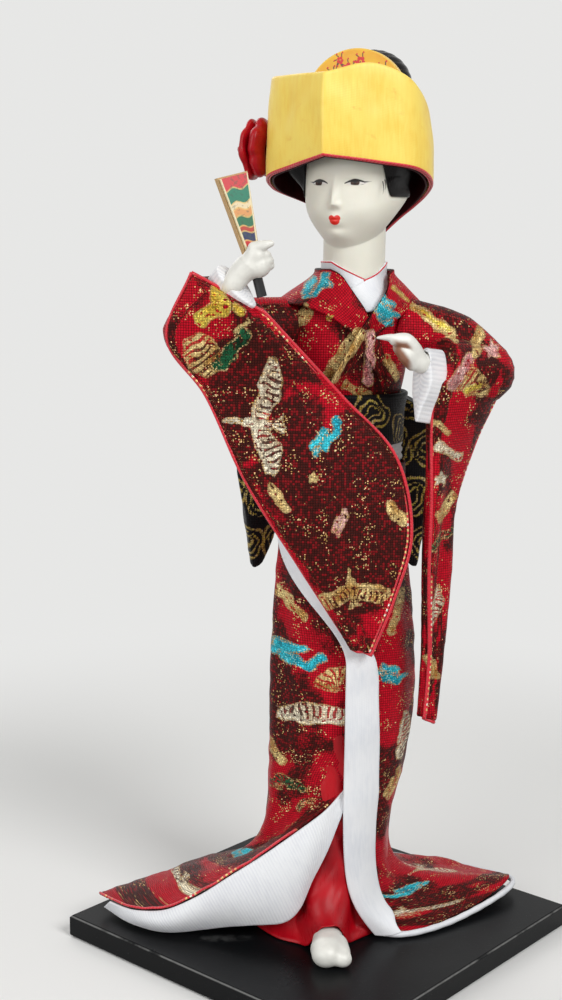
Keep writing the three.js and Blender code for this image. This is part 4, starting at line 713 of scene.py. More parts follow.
def painted_comb(name):
    """Amber comb with painted red blossoms and brown sprigs."""
    g = Graph(name, specular_ior_level=0.3)
    red, brown, edge = g.parts(g.field("ink_a"))
    place = g.place()
    cloudy = g.noise(place, 8.0, 3.0)
    colour = g.mix(g.rise(cloudy, 0.3, 0.7), (0.92, 0.42, 0.008), (0.98, 0.56, 0.02))
    colour = g.mix(g.rise(edge, 0.6, 0.2, 0.0, 0.6), colour, (0.98, 0.70, 0.10))
    colour = g.mix(g.rise(brown, 0.06, -0.06), colour, (0.05, 0.014, 0.008))
    colour = g.mix(g.rise(red, 0.07, -0.07), colour, (0.74, 0.016, 0.012))
    g.bump(g.noise(place, 0.7, 2.0), 0.02, 0.4)
    return g.done(colour, g.scaled(cloudy, 0.15, 0.22))


def paddle_picture(name):
    """Wavy bands of colour between gold lines, flecked with leaves, in a pale border."""
    g = Graph(name, coat_weight=0.3, coat_roughness=0.15)
    side_axis = np.cross(PADDLE_AXIS, unit(PADDLE_FRONT))
    place = g.place()
    from_grip = g.node("VectorMath", settings={"operation": "SUBTRACT"}, _0=place, _1=tuple(PADDLE_AT))

    def along(axis):
        dot = {"operation": "DOT_PRODUCT"}
        return g.node("VectorMath", out=1, settings=dot, _0=from_grip, _1=tuple(axis))

    x = along(unit(side_axis))
    y = g.math("DIVIDE", g.sub(along(PADDLE_AXIS), PADDLE_BLADE_FOOT), PADDLE_BLADE_LENGTH)
    wave = g.mul(g.math("SINE", g.mul(x, 1.15)), 0.022)
    level = g.add(y, wave)
    colour = (0.55, 0.03, 0.03)
    for start, band in (
        (0.14, (0.022, 0.03, 0.10)),
        (0.26, (0.50, 0.06, 0.04)),
        (0.33, (0.025, 0.16, 0.075)),
        (0.46, (0.72, 0.33, 0.12)),
        (0.56, (0.80, 0.66, 0.42)),
        (0.64, (0.02, 0.20, 0.12)),
        (0.82, (0.62, 0.05, 0.06)),
    ):
        colour = g.mix(g.rise(level, start, start + 0.012), colour, band)
        colour = g.mix(g.rise(g.math("ABSOLUTE", g.sub(level, start)), 0.014, 0.006, 0.0, 0.7), colour, GOLD)
    leaves = g.rise(g.noise(place, 1.1, 3.0), 0.55, 0.62)
    colour = g.mix(g.mul(leaves, 0.45), colour, (0.03, 0.08, 0.05))
    across = g.math("ABSOLUTE", x)
    reach = g.scaled(y, 3.0, 2.0)
    border = g.rise(g.sub(reach, across), 0.75, 0.45)
    colour = g.mix(border, colour, (0.82, 0.72, 0.46))
    g.bump(g.noise(place, 0.5, 2.0), 0.02, 0.4)
    return g.done(colour, g.scaled(leaves, 0.15, 0.3))


BROCADE = brocade("figured_silk", (0.48, 0.004, 0.016), (0.05, 0.007, 0.005), 0.48, 1.0)
OBI_CLOTH = brocade("obi_silk", (0.008, 0.007, 0.008), (0.02, 0.014, 0.010), 0.62, 1.3)
RED_SATIN = satin("red_satin", (0.46, 0.003, 0.010), (0.30, 0.002, 0.007),
                  roughness=0.3, sheen=0.0, slubs=0.12, shine=0.25)
# Painted shade: the headdress lining is a red satin, darkened near black to stand for the shade inside the
# headdress.
LINING_SATIN_PAINTED_SHADE = satin("lining_satin_painted_shade", (0.035, 0.003, 0.004), (0.010, 0.001, 0.002),
                   roughness=0.5, sheen=0.0, shine=0.1)
PIPING = dotted_cord("piping_satin")
WHITE_SATIN = satin("white_satin", (0.80, 0.81, 0.83), (0.70, 0.71, 0.75), ribs=1.05, roughness=0.42)
WHITE_CREPE = satin("white_crepe", (0.82, 0.82, 0.83), (0.66, 0.67, 0.70),
                    pitch=0.9, ribs=1.5, roughness=0.5)
WHITE_FINE = satin("white_fine", (0.80, 0.81, 0.83), (0.70, 0.72, 0.76), pitch=0.6, roughness=0.45)
YELLOW_SATIN = satin("yellow_satin", (0.95, 0.72, 0.14), (0.90, 0.60, 0.08),
                     pitch=0.5, roughness=0.4, stain_and_painted_shade=(0.76, 0.36, 0.04))
SKIN = face_paint("painted_skin")
# The brown stain colour here is painted shade on the left hand's palm, which faces away from the light.
PLAIN_SKIN = coated("cast_skin", (0.83, 0.82, 0.76), 0.4, 6.0, stain_and_painted_shade=(0.26, 0.11, 0.06))
HAIR = combed_hair("combed_hair")
COMB = painted_comb("amber_comb")
LACQUER = coated("black_lacquer", (0.006, 0.006, 0.007), 0.28, 5.0, coat=0.05)
BASE_LACQUER = lacquered_base("board_lacquer")
STEEL = metal("bright_steel", (0.62, 0.63, 0.65))
WOOD = wood_grain("pale_wood", (0.62, 0.42, 0.20), (0.42, 0.25, 0.10))
WADDING = padding("wadding")
PICTURE = paddle_picture("paddle_picture")


# Motifs: signed distances in millimetres on the cloth's own plane


def disc(x, y, at, radius):
    return np.hypot(x - at[0], y - at[1]) - radius


def oval(x, y, at, wide, high):
    return (np.hypot((x - at[0]) / wide, (y - at[1]) / high) - 1) * min(wide, high)


def rod(x, y, start, end, radius):
    dx, dy = end[0] - start[0], end[1] - start[1]
    along = np.clip(((x - start[0]) * dx + (y - start[1]) * dy) / (dx * dx + dy * dy), 0, 1)
    return np.hypot(x - start[0] - along * dx, y - start[1] - along * dy) - radius


def spread_of(x, y, at, middle, half, low, high):
    """A sector about a point, set in degrees, and each place's angle from its middle, in radians."""
    dx, dy = x - at[0], y - at[1]
    r = np.hypot(dx, dy)
    angle = np.angle(np.exp(1j * (np.arctan2(dy, dx) - math.radians(middle))))
    return np.maximum.reduce((r * (np.abs(angle) - math.radians(half)), r - high, low - r)), angle


class Motifs:
    """How far each point of a cloth lies from the nearest figure of each colour."""

    # The dark layer is painted shade: ovals of dark ground where the cloth lies in shade.
    LAYERS = ("cream", "teal", "gold", "green", "pink", "lemon", "dark")
    FAR = 4.0
    SOLID = 1.5 * math.pi
    WING_SPAN = 21.0
    FAR_WING_SPAN = 16.5
    CRANE_BODY = (
        ((-4.5, -0.3), (2.5, 0.2), 1.5),
        ((2.5, 0.2), (5.5, 1.0), 0.7),
        ((5.5, 1.0), (9.0, 0.3), 0.45),
    )
    CLOUD = (
        ((-7.5, 1.6), (0.5, 2.8), 1.6),
        ((-4.5, -1.7), (4, -2.0), 1.8),
        ((3.4, -1.4), (7.6, 1.4), 1.5),
        ((-9.2, -1.2), (-7.6, -1.0), 1.3),
    )

    def __init__(self, s, t):
        self.plain = np.asarray(s, float), np.asarray(t, float)
        flat = stack(*self.plain, 0.0)
        self.s = self.plain[0] + 1.3 * bumps(flat, 3.6)
        self.t = self.plain[1] + 1.3 * bumps(flat, 3.6, 9.0)
        self.far = {layer: np.full(self.s.shape, self.FAR) for layer in self.LAYERS}
        self.phase = np.full(self.s.shape, self.SOLID)

    def local(self, at, angle, size, flip=False):
        a = math.radians(angle)
        dx, dy = self.s - at[0], at[1] - self.t
        x, y = (dx * math.cos(a) + dy * math.sin(a)) / size, (dy * math.cos(a) - dx * math.sin(a)) / size
        return (x, -y) if flip else (x, y)

    def lay(self, layer, distance, size=1.0, phase=SOLID):
        distance = np.clip(distance * size, -self.FAR, self.FAR)
        self.phase = np.where(distance < 0.3, phase, self.phase)
        self.far[layer] = np.minimum(self.far[layer], distance)

    def wing(self, x, y, span, size, layer="cream"):
        """A wing along +y: a solid leading bar on the +x side and feather bars behind it."""
        along = np.clip(y / span, 0, 1)
        lead = 1.2 - 5.2 * along**1.4
        reach = 1.2 + 6.4 * np.sin(math.pi * (0.12 + 0.8 * along))
        shape = np.maximum.reduce((x - lead, lead - reach - x, 0.2 - y, y - span))
        feathers = 3.0 * (y + 0.3 * (lead - x))
        self.lay(layer, shape, size, np.where(x < lead - 1.8, feathers, self.SOLID))

    def crane(self, at, angle, size=1.0, flip=False, layer="cream"):
        x, y = self.local(at, angle, size, flip)
        self.wing(x, y, self.WING_SPAN, size, layer)
        self.wing(x, -y, self.FAR_WING_SPAN, size, layer)
        for start, end, radius in self.CRANE_BODY:
            self.lay(layer, rod(x, y, start, end, radius), size)
        tail, turn = spread_of(x, y, (-3, 0), 180, 26, 0, 6.5)
        self.lay(layer, tail, size, turn * 18)

    def lone_wing(self, at, angle, size=1.0, flip=False, layer="cream"):
        x, y = self.local(at, angle, size, flip)
        self.wing(x, y, self.WING_SPAN, size, layer)

    def cloud(self, layer, at, angle, size=1.0):
        x, y = self.local(at, angle, size)
        for start, end, radius in self.CLOUD:
            self.lay(layer, rod(x, y, start, end, radius), size)

    def fan(self, layer, at, angle, size=1.0):
        x, y = self.local(at, angle, size)
        leaf, turn = spread_of(x, y, (0, 0), 90, 40, 3, 13)
        self.lay(layer, leaf, size, turn * 24)

    def band(self, layer, start, end, radius):
        """A streak between two places, given across and up."""
        self.lay(layer, rod(self.s, -self.t, start, end, radius))

    def patch(self, at, wide, high):
        """Painted shade: an oval of dark ground, given across and up, laid where the cloth lies in shade."""
        self.far["dark"] = np.minimum(self.far["dark"], oval(self.s, -self.t, at, wide, high))

    def pine(self, at, angle, size=1.0):
        x, y = self.local(at, angle, size)
        for middle, lean in (((-5, -1), 100), ((0, 1.5), 90), ((5, -1), 80)):
            leaf, turn = spread_of(x, y, middle, lean, 95, 0, 4.0)
            self.lay("green", leaf, size, turn * 9)

    def blossom(self, at, size=1.0, layer="pink"):
        x, y = self.local(at, 20, size)
        r, angle = np.hypot(x, y), np.arctan2(y, x)
        self.lay(layer, r - 3.4 * (0.74 + 0.26 * np.cos(5 * angle)), size)

    def ripples(self, at, wobble, turn, reach, flatness=1.0):
        """Rings one inside another, drawn out at three sides."""
        x, y = self.local(at, 0, 1.0)
        r = np.hypot(x, y * flatness) + wobble * np.sin(3 * np.arctan2(y, x) + turn)
        ring = np.abs(((r + 0.6) % 2.1) - 1.05) - 0.16
        self.lay("lemon", np.maximum.reduce((ring, r - reach, 2.0 - r)))

    def fields(self, s=None, t=None):
        flat = {layer: value.ravel() for layer, value in self.far.items()}
        s, t = self.plain if s is None else (s, t)
        return {
            "cloth": stack(s.ravel(), t.ravel(), self.phase.ravel()),
            "ink_a": stack(flat["cream"], flat["teal"], flat["gold"]),
            "ink_b": stack(flat["green"], flat["pink"], flat["lemon"]),
            "painted_shade_field": stack(flat["dark"], 0.0, 0.0),
        }


def joined(front, seen, back, s, t):
    """Fields of one cloth: the front's motifs where it is seen, the back's elsewhere."""
    a, b = front.fields(s, t), back.fields(s, t)
    return {key: np.where(np.ravel(seen)[:, None], a[key], b[key]) for key in a}


def at_share(s, t, u, v):
    """Cloth coordinates at a share of the grid across and down."""
    j, i = round(v * (s.shape[0] - 1)), round(u * (s.shape[1] - 1))
    return s[j, i], t[j, i]


# Camera, light and floor
LAMPS = (
    ("key", (0.62, -0.92, 0.95), 0.55, 11.5),
    ("fill", (-0.9, -0.85, 0.55), 0.9, 8.3),
    ("back", (-0.5, 0.9, 0.9), 0.8, 4.0),
)
BACKDROP = (0.80, 0.80, 0.79)
WORLD_COLOUR = (0.80, 0.81, 0.80)
WORLD_STRENGTH = 0.36
FLOOR_COLOUR = (0.86, 0.855, 0.84)
FLOOR_BOUNCE = (0.42, 0.41, 0.40)
FLOOR_HALF = 6.0
FLOOR_FADE = (180.0, 420.0)
LAMPS_FACE = Vector((0, 0, 0.15))


def seen_straight(tree):
    """1 for rays that the camera sees, also by way of gloss or glass, and 0 for light that is scattered."""
    rays = tree.nodes.new("ShaderNodeLightPath").outputs
    seen = rays["Is Camera Ray"]
    for kind in ("Is Glossy Ray", "Is Transmission Ray"):
        either = tree.nodes.new("ShaderNodeMath")
        either.operation = "MAXIMUM"
        tree.links.new(seen, either.inputs[0])
        tree.links.new(rays[kind], either.inputs[1])
        seen = either.outputs[0]
    return seen


def make_floor():
    """A pale floor that runs out into the backdrop's colour."""
    mesh = bpy.data.meshes.new("floor")
    half = FLOOR_HALF
    corners = [(-half, -half, 0), (half, -half, 0), (half, half, 0), (-half, half, 0)]
    mesh.from_pydata(corners, [], [(0, 1, 2, 3)])
    floor = bpy.data.objects.new("floor", mesh)
    g = Graph("floor", roughness=0.7)
    x, y, _ = g.parts(g.place())
    away = g.math("SQRT", g.add(g.mul(x, x), g.mul(y, y)))
    seen = seen_straight(g.tree)
    glow = g.tree.nodes.new("ShaderNodeEmission")
    glow.inputs[0].default_value = (*BACKDROP, 1)
    choice = g.tree.nodes.new("ShaderNodeMixShader")
    g.put(choice, 0, g.mul(g.rise(away, *FLOOR_FADE), seen))
    g.done(g.mix(seen, FLOOR_BOUNCE, FLOOR_COLOUR))
    g.put(choice, 1, g.shader.outputs[0])
    g.put(choice, 2, glow.outputs[0])
    g.put(g.tree.nodes["Material Output"], 0, choice.outputs[0])
    mesh.materials.append(g.material)
    scene.collection.objects.link(floor)


def set_stage():
    camera = bpy.data.cameras.new("camera")
    camera.sensor_width = SENSOR
    camera.lens = FOCAL_PIXELS / PHOTO_HEIGHT * SENSOR
    camera.clip_start = 0.01
    view = bpy.data.objects.new("camera", camera)
    scene.collection.objects.link(view)
    h, p, r = CAMERA_HEADING, CAMERA_PITCH, CAMERA_ROLL
    forward = Vector((math.sin(h) * math.cos(p), math.cos(h) * math.cos(p), -math.sin(p)))
    side = Vector((math.cos(h), -math.sin(h), 0))
    up = side.cross(forward)
    right = side * math.cos(r) - up * math.sin(r)
    top = side * math.sin(r) + up * math.cos(r)
    turned = Matrix((right, top, -forward)).transposed().to_4x4()
    view.matrix_world = Matrix.Translation(CAMERA_AT) @ turned
    scene.camera = view
    for name, at, size, power in LAMPS:
        lamp = bpy.data.lights.new(name, "AREA")
        lamp.size = size
        lamp.energy = power
        holder = bpy.data.objects.new(name, lamp)
        holder.location = at
        holder.rotation_euler = (LAMPS_FACE - Vector(at)).to_track_quat("-Z", "Y").to_euler()
        scene.collection.objects.link(holder)
    world = bpy.data.worlds.new("studio")
    world.use_nodes = True
    tree = world.node_tree
    shown = tree.nodes.new("ShaderNodeBackground")
    shown.inputs[0].default_value = (*BACKDROP, 1)
    tree.nodes["Background"].inputs[0].default_value = (*WORLD_COLOUR, 1)
    tree.nodes["Background"].inputs[1].default_value = WORLD_STRENGTH
    choice = tree.nodes.new("ShaderNodeMixShader")
    tree.links.new(seen_straight(tree), choice.inputs[0])
    tree.links.new(tree.nodes["Background"].outputs[0], choice.inputs[1])
    tree.links.new(shown.outputs[0], choice.inputs[2])
    tree.links.new(choice.outputs[0], tree.nodes["World Output"].inputs[0])
    scene.world = world
    scene.view_settings.view_transform = "Standard"
    make_floor()


set_stage()


# Body and dress surfaces


def on_body(angle, level, offset):
    level = np.asarray(level, float)
    turn = BODY_TURN * smooth(level, 118, 195)

    def reach(stations):
        slope = (follow(stations, level + 1) - follow(stations, level - 1)) / 2
        return follow(stations, level) + offset * np.hypot(1, slope)

    x = reach(BODY_WIDTH) * np.cos(angle - turn)
    y = reach(BODY_DEPTH) * np.sin(angle - turn)
    side = NECK_OFFSET * smooth(level, 195, 224)
    return stack(side + x * np.cos(turn) - y * np.sin(turn), x * np.sin(turn) + y * np.cos(turn), level)


HEM_STOPS = np.array([
    LEFT_TIP,
    (LEFT_TIP[0] * 0.93, lerp(LEFT_TIP[1], TRAIN_BACK, 0.17), 4.6),
    (LEFT_TIP[0] * 0.79, lerp(LEFT_TIP[1], TRAIN_BACK, 0.38), 4),
    (LEFT_TIP[0] * 0.53, TRAIN_BACK * 0.74, 2.4),
    (LEFT_TIP[0] * 0.25, TRAIN_BACK * 0.95, 1.8),
    (0, TRAIN_BACK, 1.6),
    (RIGHT_TIP[0] * 0.35, TRAIN_BACK * 0.93, 1.7),
    (RIGHT_TIP[0] * 0.64, TRAIN_BACK * 0.75, 2),
    (RIGHT_TIP[0] * 0.87, TRAIN_BACK * 0.52, 3.2),
    RIGHT_TIP,
    (RIGHT_TIP[0] * 0.62, -SKIRT_HALF_DEPTH * 0.62, 2.4),
    (RIGHT_TIP[0] * 0.33, -SKIRT_HALF_DEPTH - 1.4, HEM_GAP + 0.3),
    (RIGHT_TIP[0] * 0.18, -SKIRT_HALF_DEPTH - 0.4, HEM_GAP + 0.2),
])
WIDE_TOP = float(follow(BODY_WIDTH, SKIRT_TOP)) + BODICE_OUT + CLEARANCE + SKIRT_THICKNESS * 2
DEEP_TOP = float(follow(BODY_DEPTH, SKIRT_TOP)) + BODICE_OUT + CLEARANCE + SKIRT_THICKNESS * 2
KNEE_SHARE = 0.6
SKIRT_WIDE = [(0, SKIRT_HALF_WIDTH), (78, SKIRT_HALF_WIDTH), (SKIRT_TOP, WIDE_TOP)]
SKIRT_DEEP = [(30, SKIRT_HALF_DEPTH * 0.97), (78, SKIRT_HALF_DEPTH), (SKIRT_TOP, DEEP_TOP)]


def skirt_point(u, v):
    """The skirt's middle surface: u from under-edge round the back to over-edge, v from waist to hem."""
    above = np.minimum(v, KNEE_SHARE) / KNEE_SHARE
    level = np.where(v < KNEE_SHARE, lerp(SKIRT_TOP, KNEE_LEVEL, above), KNEE_LEVEL)
    overlap = 1.2 * smooth(level, 96, 142)
    start = FRONT + UNDERLAP * smooth(level, KNEE_LEVEL, KNEE_LEVEL + 18)
    angle = start - u * (2 * math.pi + start - FRONT + overlap)
    layer = (SKIRT_THICKNESS + CLEARANCE * 1.5) * smooth(u, 0.62, 0.86)
    fold = 0.5 * np.sin(9 * angle + level * 0.03) * smooth(u, 0.1, 0.2) * (1 - smooth(u, 0.8, 0.9))
    draw = np.maximum(0, np.cos(angle)) * SKIRT_DRAW
    tube_x = (follow(SKIRT_WIDE, level) + layer + fold - SKIRT_THICKNESS) * np.cos(angle)
    tube_x = tube_x - draw * (1 - smooth(level, KNEE_LEVEL * 0.6, KNEE_LEVEL * 1.6))
    tube_y = (follow(SKIRT_DEEP, level) + layer + fold - SKIRT_THICKNESS) * np.sin(angle)
    upper = stack(tube_x, tube_y, level)
    if np.max(v) <= KNEE_SHARE:
        return upper
    t = np.clip((v - KNEE_SHARE) / (1 - KNEE_SHARE), 0, 1)
    hem = catmull(HEM_STOPS, u)
    sweep = 1 - smooth(u, 0, 0.16)
    edge = smooth(u, 0.93, 1)
    column = smooth(u, 0.5, 0.66)
    puff = 9 * smooth(u, 0.02, 0.1) * (1 - smooth(u, 0.22, 0.4))
    inward = -8 * sweep - draw * lerp(0.5, 2.6, column)
    first = upper + stack(inward, 0 * u, 8 * edge - lerp(lerp(36, 42, column), 14, sweep))
    to_hem = lerp(lerp(lerp(0.46, 0.14, column), 0.55, sweep), 0.15, edge)
    second = lerp(upper, hem, to_hem[..., None])
    second[..., 2] = hem[..., 2] + lerp(lerp(9, 6, column), 9.5, sweep) + 6 * edge + puff
    waving = smooth(t, 0.5, 1) * smooth(u, 0.08, 0.2) * (1 - smooth(u, 0.75, 0.85))
    a, b = (1 - t)[..., None], t[..., None]
    low = a**3 * upper + 3 * a * a * b * first + 3 * a * b * b * second + b**3 * hem
    low[..., 2] += np.maximum(0, 1.6 * np.sin(11 * math.pi * u) * waving)
    pull = sweep * lerp(1, smooth(t, 0, 0.4), smooth(u, 0, 0.03))
    low = lerp(low, catmull(SWEEP_EDGE, t), pull[..., None])
    return np.where(v[..., None] <= KNEE_SHARE, upper, low)


SWEEP_EDGE = np.array([
    skirt_point(np.zeros(1), np.full(1, KNEE_SHARE))[0],
    (LEFT_TIP[0] * 0.08, -SKIRT_HALF_DEPTH - 1, KNEE_LEVEL * 0.88),
    (LEFT_TIP[0] * 0.165, -SKIRT_HALF_DEPTH - 1.9, KNEE_LEVEL * 0.78),
    (LEFT_TIP[0] * 0.305, -SKIRT_HALF_DEPTH - 2.4, KNEE_LEVEL * 0.62),
    (LEFT_TIP[0] * 0.437, -SKIRT_HALF_DEPTH - 1.9, KNEE_LEVEL * 0.477),
    (LEFT_TIP[0] * 0.59, -SKIRT_HALF_DEPTH + 0.1, KNEE_LEVEL * 0.305),
    (LEFT_TIP[0] * 0.72, -SKIRT_HALF_DEPTH + 3.6, KNEE_LEVEL * 0.185),
    (LEFT_TIP[0] * 0.85, LEFT_TIP[1] - 14.5, LEFT_TIP[2] + 1.2),
    LEFT_TIP,
])


def above_skirt(u, v, height):
    e = 2e-3
    along = skirt_point(np.minimum(1, u + e), v) - skirt_point(u - e, v)
    down = skirt_point(u, np.minimum(1, v + e)) - skirt_point(u, v - e)
    return skirt_point(u, v) + unit(np.cross(along, down)) * np.asarray(height)[..., None]


# Motifs round the skirt: shares across and down, angle, size
SKIRT_CRANES = (
    (0.30, 0.30, 70, 1.0), (0.55, 0.22, 20, 1.0), (0.07, 0.88, 200, 0.7), (0.46, 0.82, 100, 1.1),
    (0.72, 0.86, 40, 1.0), (0.88, 0.9, 160, 0.7), (0.66, 0.52, 110, 0.9),
)
SKIRT_CLOUDS = ((0.40, 0.5, 0, 1.0), (0.64, 0.36, 12, 1.0), (0.83, 0.84, 30, 0.8), (0.2, 0.8, 20, 1.0))
SKIRT_FANS = ((0.2, 0.42, 30, 0.9), (0.7, 0.3, 0, 0.9), (0.5, 0.65, 60, 1.0), (0.93, 0.86, 10, 0.8))
SKIRT_PINES = ((0.36, 0.68, 0, 1.1), (0.6, 0.72, 10, 1.1))
BROCADE_THICKNESS = 0.6
EDGE_CORD_ROW = 135


def make_skirt():
    p = grid(skirt_point, 200, 190)
    s, t = lengths(p)
    crease = 0.35 * bumps(stack(s * 0.6, t * 1.6, 0 * s), 9.0) + 0.18 * bumps(stack(s, t, 0 * s), 4.0, 3.0)
    p = raised(p, 0.35 + crease * smooth(t, 4, 16))
    m = Motifs(s, t)
    for u, v, angle, size in SKIRT_CRANES:
        m.crane(at_share(s, t, u, v), angle, size)
    for u, v, angle, size in SKIRT_CLOUDS:
        m.cloud("teal", at_share(s, t, u, v), angle, size)
    for u, v, angle, size in SKIRT_FANS:
        m.fan("gold", at_share(s, t, u, v), angle, size)
    for u, v, angle, size in SKIRT_PINES:
        m.pine(at_share(s, t, u, v), angle, size)
    for u, v, size in ((0.5, 0.4, 1.0), (0.78, 0.52, 0.9), (0.3, 0.85, 1.0)):
        m.blossom(at_share(s, t, u, v), size)
    front = Motifs(p[..., 0], -p[..., 2])
    front.cloud("teal", (-15, -97), -8, 1.0)
    front.cloud("teal", (16, -91), -25, 0.65)
    front.fan("gold", (-1, -85), 35, 0.75)
    front.lone_wing((1, -77), -72, 1.05, True)
    front.lone_wing((21, -77), 160, 0.8)
    front.pine((-19.5, -50), 15, 0.85)
    front.pine((-12.5, -45.5), 40, 0.4)
    front.band("gold", (-22, 118), (-14, 111), 1.6)
    front.blossom((-14, -128), 0.7)
    front.band("gold", (19, 118), (15, 106), 1.4)
    front.band("gold", (-24, 64), (-20, 59), 1.5)
    front.cloud("gold", (18, -52), 60, 0.6)
    seen = (p[..., 1] < -3) & (p[..., 2] > 34)
    obj = build("skirt_cloth", p, quads(*p.shape[:2]), joined(front, seen, m, s, t))
    thicken(obj, BROCADE_THICKNESS)
    finish_piece(obj, BROCADE, "figure", ["skirt"])
    edge = p[EDGE_CORD_ROW:, 0]
    golden = np.repeat(bumps(edge, 9.0) > 0.1, 8)
    cord, faces = tube(edge + (0, 0, 0.35), radius=0.42)
    cord = build("skirt_edge_cord", cord, faces, threads(*cord_threads(edge), golden))
    finish_piece(cord, PIPING, "figure")


def make_facing():
    def point(u, v):
        run = lerp(0.12, 1.0, v)
        slant = lerp(0.4, 0.88, smooth(run, 0.24, 0.4))
        width = FACING_WIDTH * slant * lerp(1, 1.75, smooth(run, 0.42, 0.8))
        width = width * lerp(1, 0.7, smooth(run, 0.86, 1))
        share = width / (math.pi * (SKIRT_HALF_WIDTH + SKIRT_HALF_DEPTH))
        height = SKIRT_THICKNESS / 2 + CLEARANCE * 2 + FACING_THICKNESS / 2
        return above_skirt(1 - u * share, run, height + 0 * u)

    p = grid(point, 24, 220)
    s, t = lengths(p)
    p = raised(p, 0.35 * bumps(stack(s * 0.4, t, 0 * s), 12.0) * smooth(t, 20, 40))
    obj = folded_strip("facing_cloth", np.swapaxes(p, 0, 1), s.T, t.T, half=0.5)
    finish_piece(obj, WHITE_FINE, "figure", ["facing_front"])


def make_side_lining():
    foot_stops = [
        (0.5, -SKIRT_HALF_DEPTH - 1, KNEE_LEVEL * 0.92),
        (-5.4, -SKIRT_HALF_DEPTH - 2.4, KNEE_LEVEL * 0.63),
        (-10.7, -SKIRT_HALF_DEPTH - 3.6, KNEE_LEVEL * 0.43),
        (-15.2, -SKIRT_HALF_DEPTH - 5, KNEE_LEVEL * 0.24),
        (-20, -SKIRT_HALF_DEPTH - 5.2, KNEE_LEVEL * 0.16),
        (LEFT_TIP[0] * 0.38, -SKIRT_HALF_DEPTH - 3.2, 6.6),
        (LEFT_TIP[0] * 0.57, -SKIRT_HALF_DEPTH + 1.4, 3.2),
        (LEFT_TIP[0] * 0.71, -SKIRT_HALF_DEPTH + 2.6, 1.8),
        (LEFT_TIP[0] * 0.85, LEFT_TIP[1] - 15.6, HEM_GAP + 0.6),
        (LEFT_TIP[0] * 0.975, LEFT_TIP[1] - 3, LEFT_TIP[2] - 3),
    ]

    def point(u, v):
        edge = skirt_point(0 * u, lerp(KNEE_SHARE, 0.985, u)) + (0, -0.8, -0.6)
        foot = catmull(foot_stops, u)
        belly = 4 * v * (1 - v) * smooth(u, 0.05, 0.3) * (1 - smooth(u, 0.8, 1))
        return lerp(edge, foot, v[..., None]) + belly[..., None] * np.array((0, -2.2, 0.8))

    p = grid(point, 150, 48)
    s, t = lengths(p)
    p = raised(p, 0.3 * bumps(stack(s, t * 0.5, 0 * s), 11.0))
    obj = folded_strip("side_lining_cloth", p, s, t, half=0.55)
    finish_piece(obj, WHITE_SATIN, "figure", ["lining_side"])


def make_hem_roll():
    stops = HEM_STOPS[5:]
    line = stops + unit(stops * (1, 1, 0)) * (SKIRT_THICKNESS / 2 + HEM_ROLL_RADIUS * 0.5)
    line[:, 2] = np.maximum(stops[:, 2] - 0.5, HEM_ROLL_RADIUS * 0.7 + CLEARANCE)
    path = catmull(line, np.linspace(0, 1, 200))
    run = run_along(path)
    width = HEM_ROLL_RADIUS * 0.7 * (1 + 0.05 * np.sin(run * 0.9) + 0.06 * bumps(path, 7.0))
    width *= smooth(run, -1, 2.5) * (1 - smooth(run, run[-1] - 2.5, run[-1] + 1))
    points, faces = tube(path, width, 12)
    around, along = cord_threads(path, 12, 0.8)
    obj = build("hem_roll_cloth", points, faces, threads(along, around))
    finish_piece(obj, WHITE_FINE, "figure", ["hem_roll"])


# Where the front of the underskirt's hem lies: across, and along Y
UNDERSKIRT_FRONT = [
    (-32, -8), (-29, -13), (-22.5, -23.4), (-13.3, -30), (-10, -33.6), (-6, -35),
    (-2, -33.4), (2.5, -28), (7, -23.6), (12, -19.4), (30, -14),
]


def make_underskirt():
    def point(u, v):
        angle = 2 * math.pi * u + math.pi / 2
        level = lerp(148, 0.6, v**0.7)
        low = (1 - smooth(level, 0, KNEE_LEVEL)) ** 5
        wide = lerp(UNDERSKIRT_TOP[0], UNDERSKIRT_HEM[0], low)
        deep = lerp(UNDERSKIRT_TOP[1], UNDERSKIRT_HEM[1] - UNDERSKIRT_FORWARD, low)
        fold = 1 + 0.03 * low * np.cos(7 * angle)
        front = np.maximum(0, -np.sin(angle))
        x = RIGHT_TOE_X * 0.6 * low + wide * fold * np.cos(angle)
        y = deep * fold * np.sin(angle) - 4.6 * front * (1 - smooth(level, 70, 118))
        gap = smooth(x, -15, -11) * (1 - smooth(x, -1, 3))
        flare = np.exp(-level / lerp(3.2, 11.0, gap)) * smooth(front, 0, 0.2)
        over_foot = 10.2 * np.exp(-((x + 5.6) / 5.6) ** 4) * np.exp(-level / 9) * front
        y = lerp(y, profile(UNDERSKIRT_FRONT, x), flare)
        spread = 20 * smooth(level, 3.5, 1.0) * (1 - smooth(x, 8, 13))
        behind = np.maximum(y, -SKIRT_HALF_DEPTH + lerp(0.9, 3.5, smooth(level, 10, 16)) - spread)
        return stack(x, lerp(y, behind, smooth(x, 1.5, 5)), level + over_foot)

    p = grid(point, 240, 150)
    s, t = lengths(p)
    x, y, z = np.moveaxis(p, -1, 0)
    folds = np.abs(bumps(stack((x + 0.7 * z) * 0.8, y * 0.4, (z - x) * 0.22), 9.0)) * 2.2
    folds += np.abs(bumps(stack(x - 0.5 * z, y * 0.4, z * 0.3), 8.0, 4.0))
    open_side = (1 - smooth(x, 1, 4)) * smooth(z, 90, 34) * smooth(t.max(0) - t, 0, 14)
    p = raised(p, (0.2 - folds) * open_side)
    p[..., 2] = np.maximum(p[..., 2], 0.4)
    obj = build("underskirt_cloth", p, quads(*p.shape[:2]), threads(s, t))
    thicken(obj, 0.3)
    finish_piece(obj, RED_SATIN, "figure", ["underskirt"])


def neckline(away):
    return lerp(NECKLINE_POINT_LEVEL, NECKLINE_LEVEL, np.minimum(1, np.abs(away) / 1.4))


CHEST_FRONT = FRONT + BODY_TURN


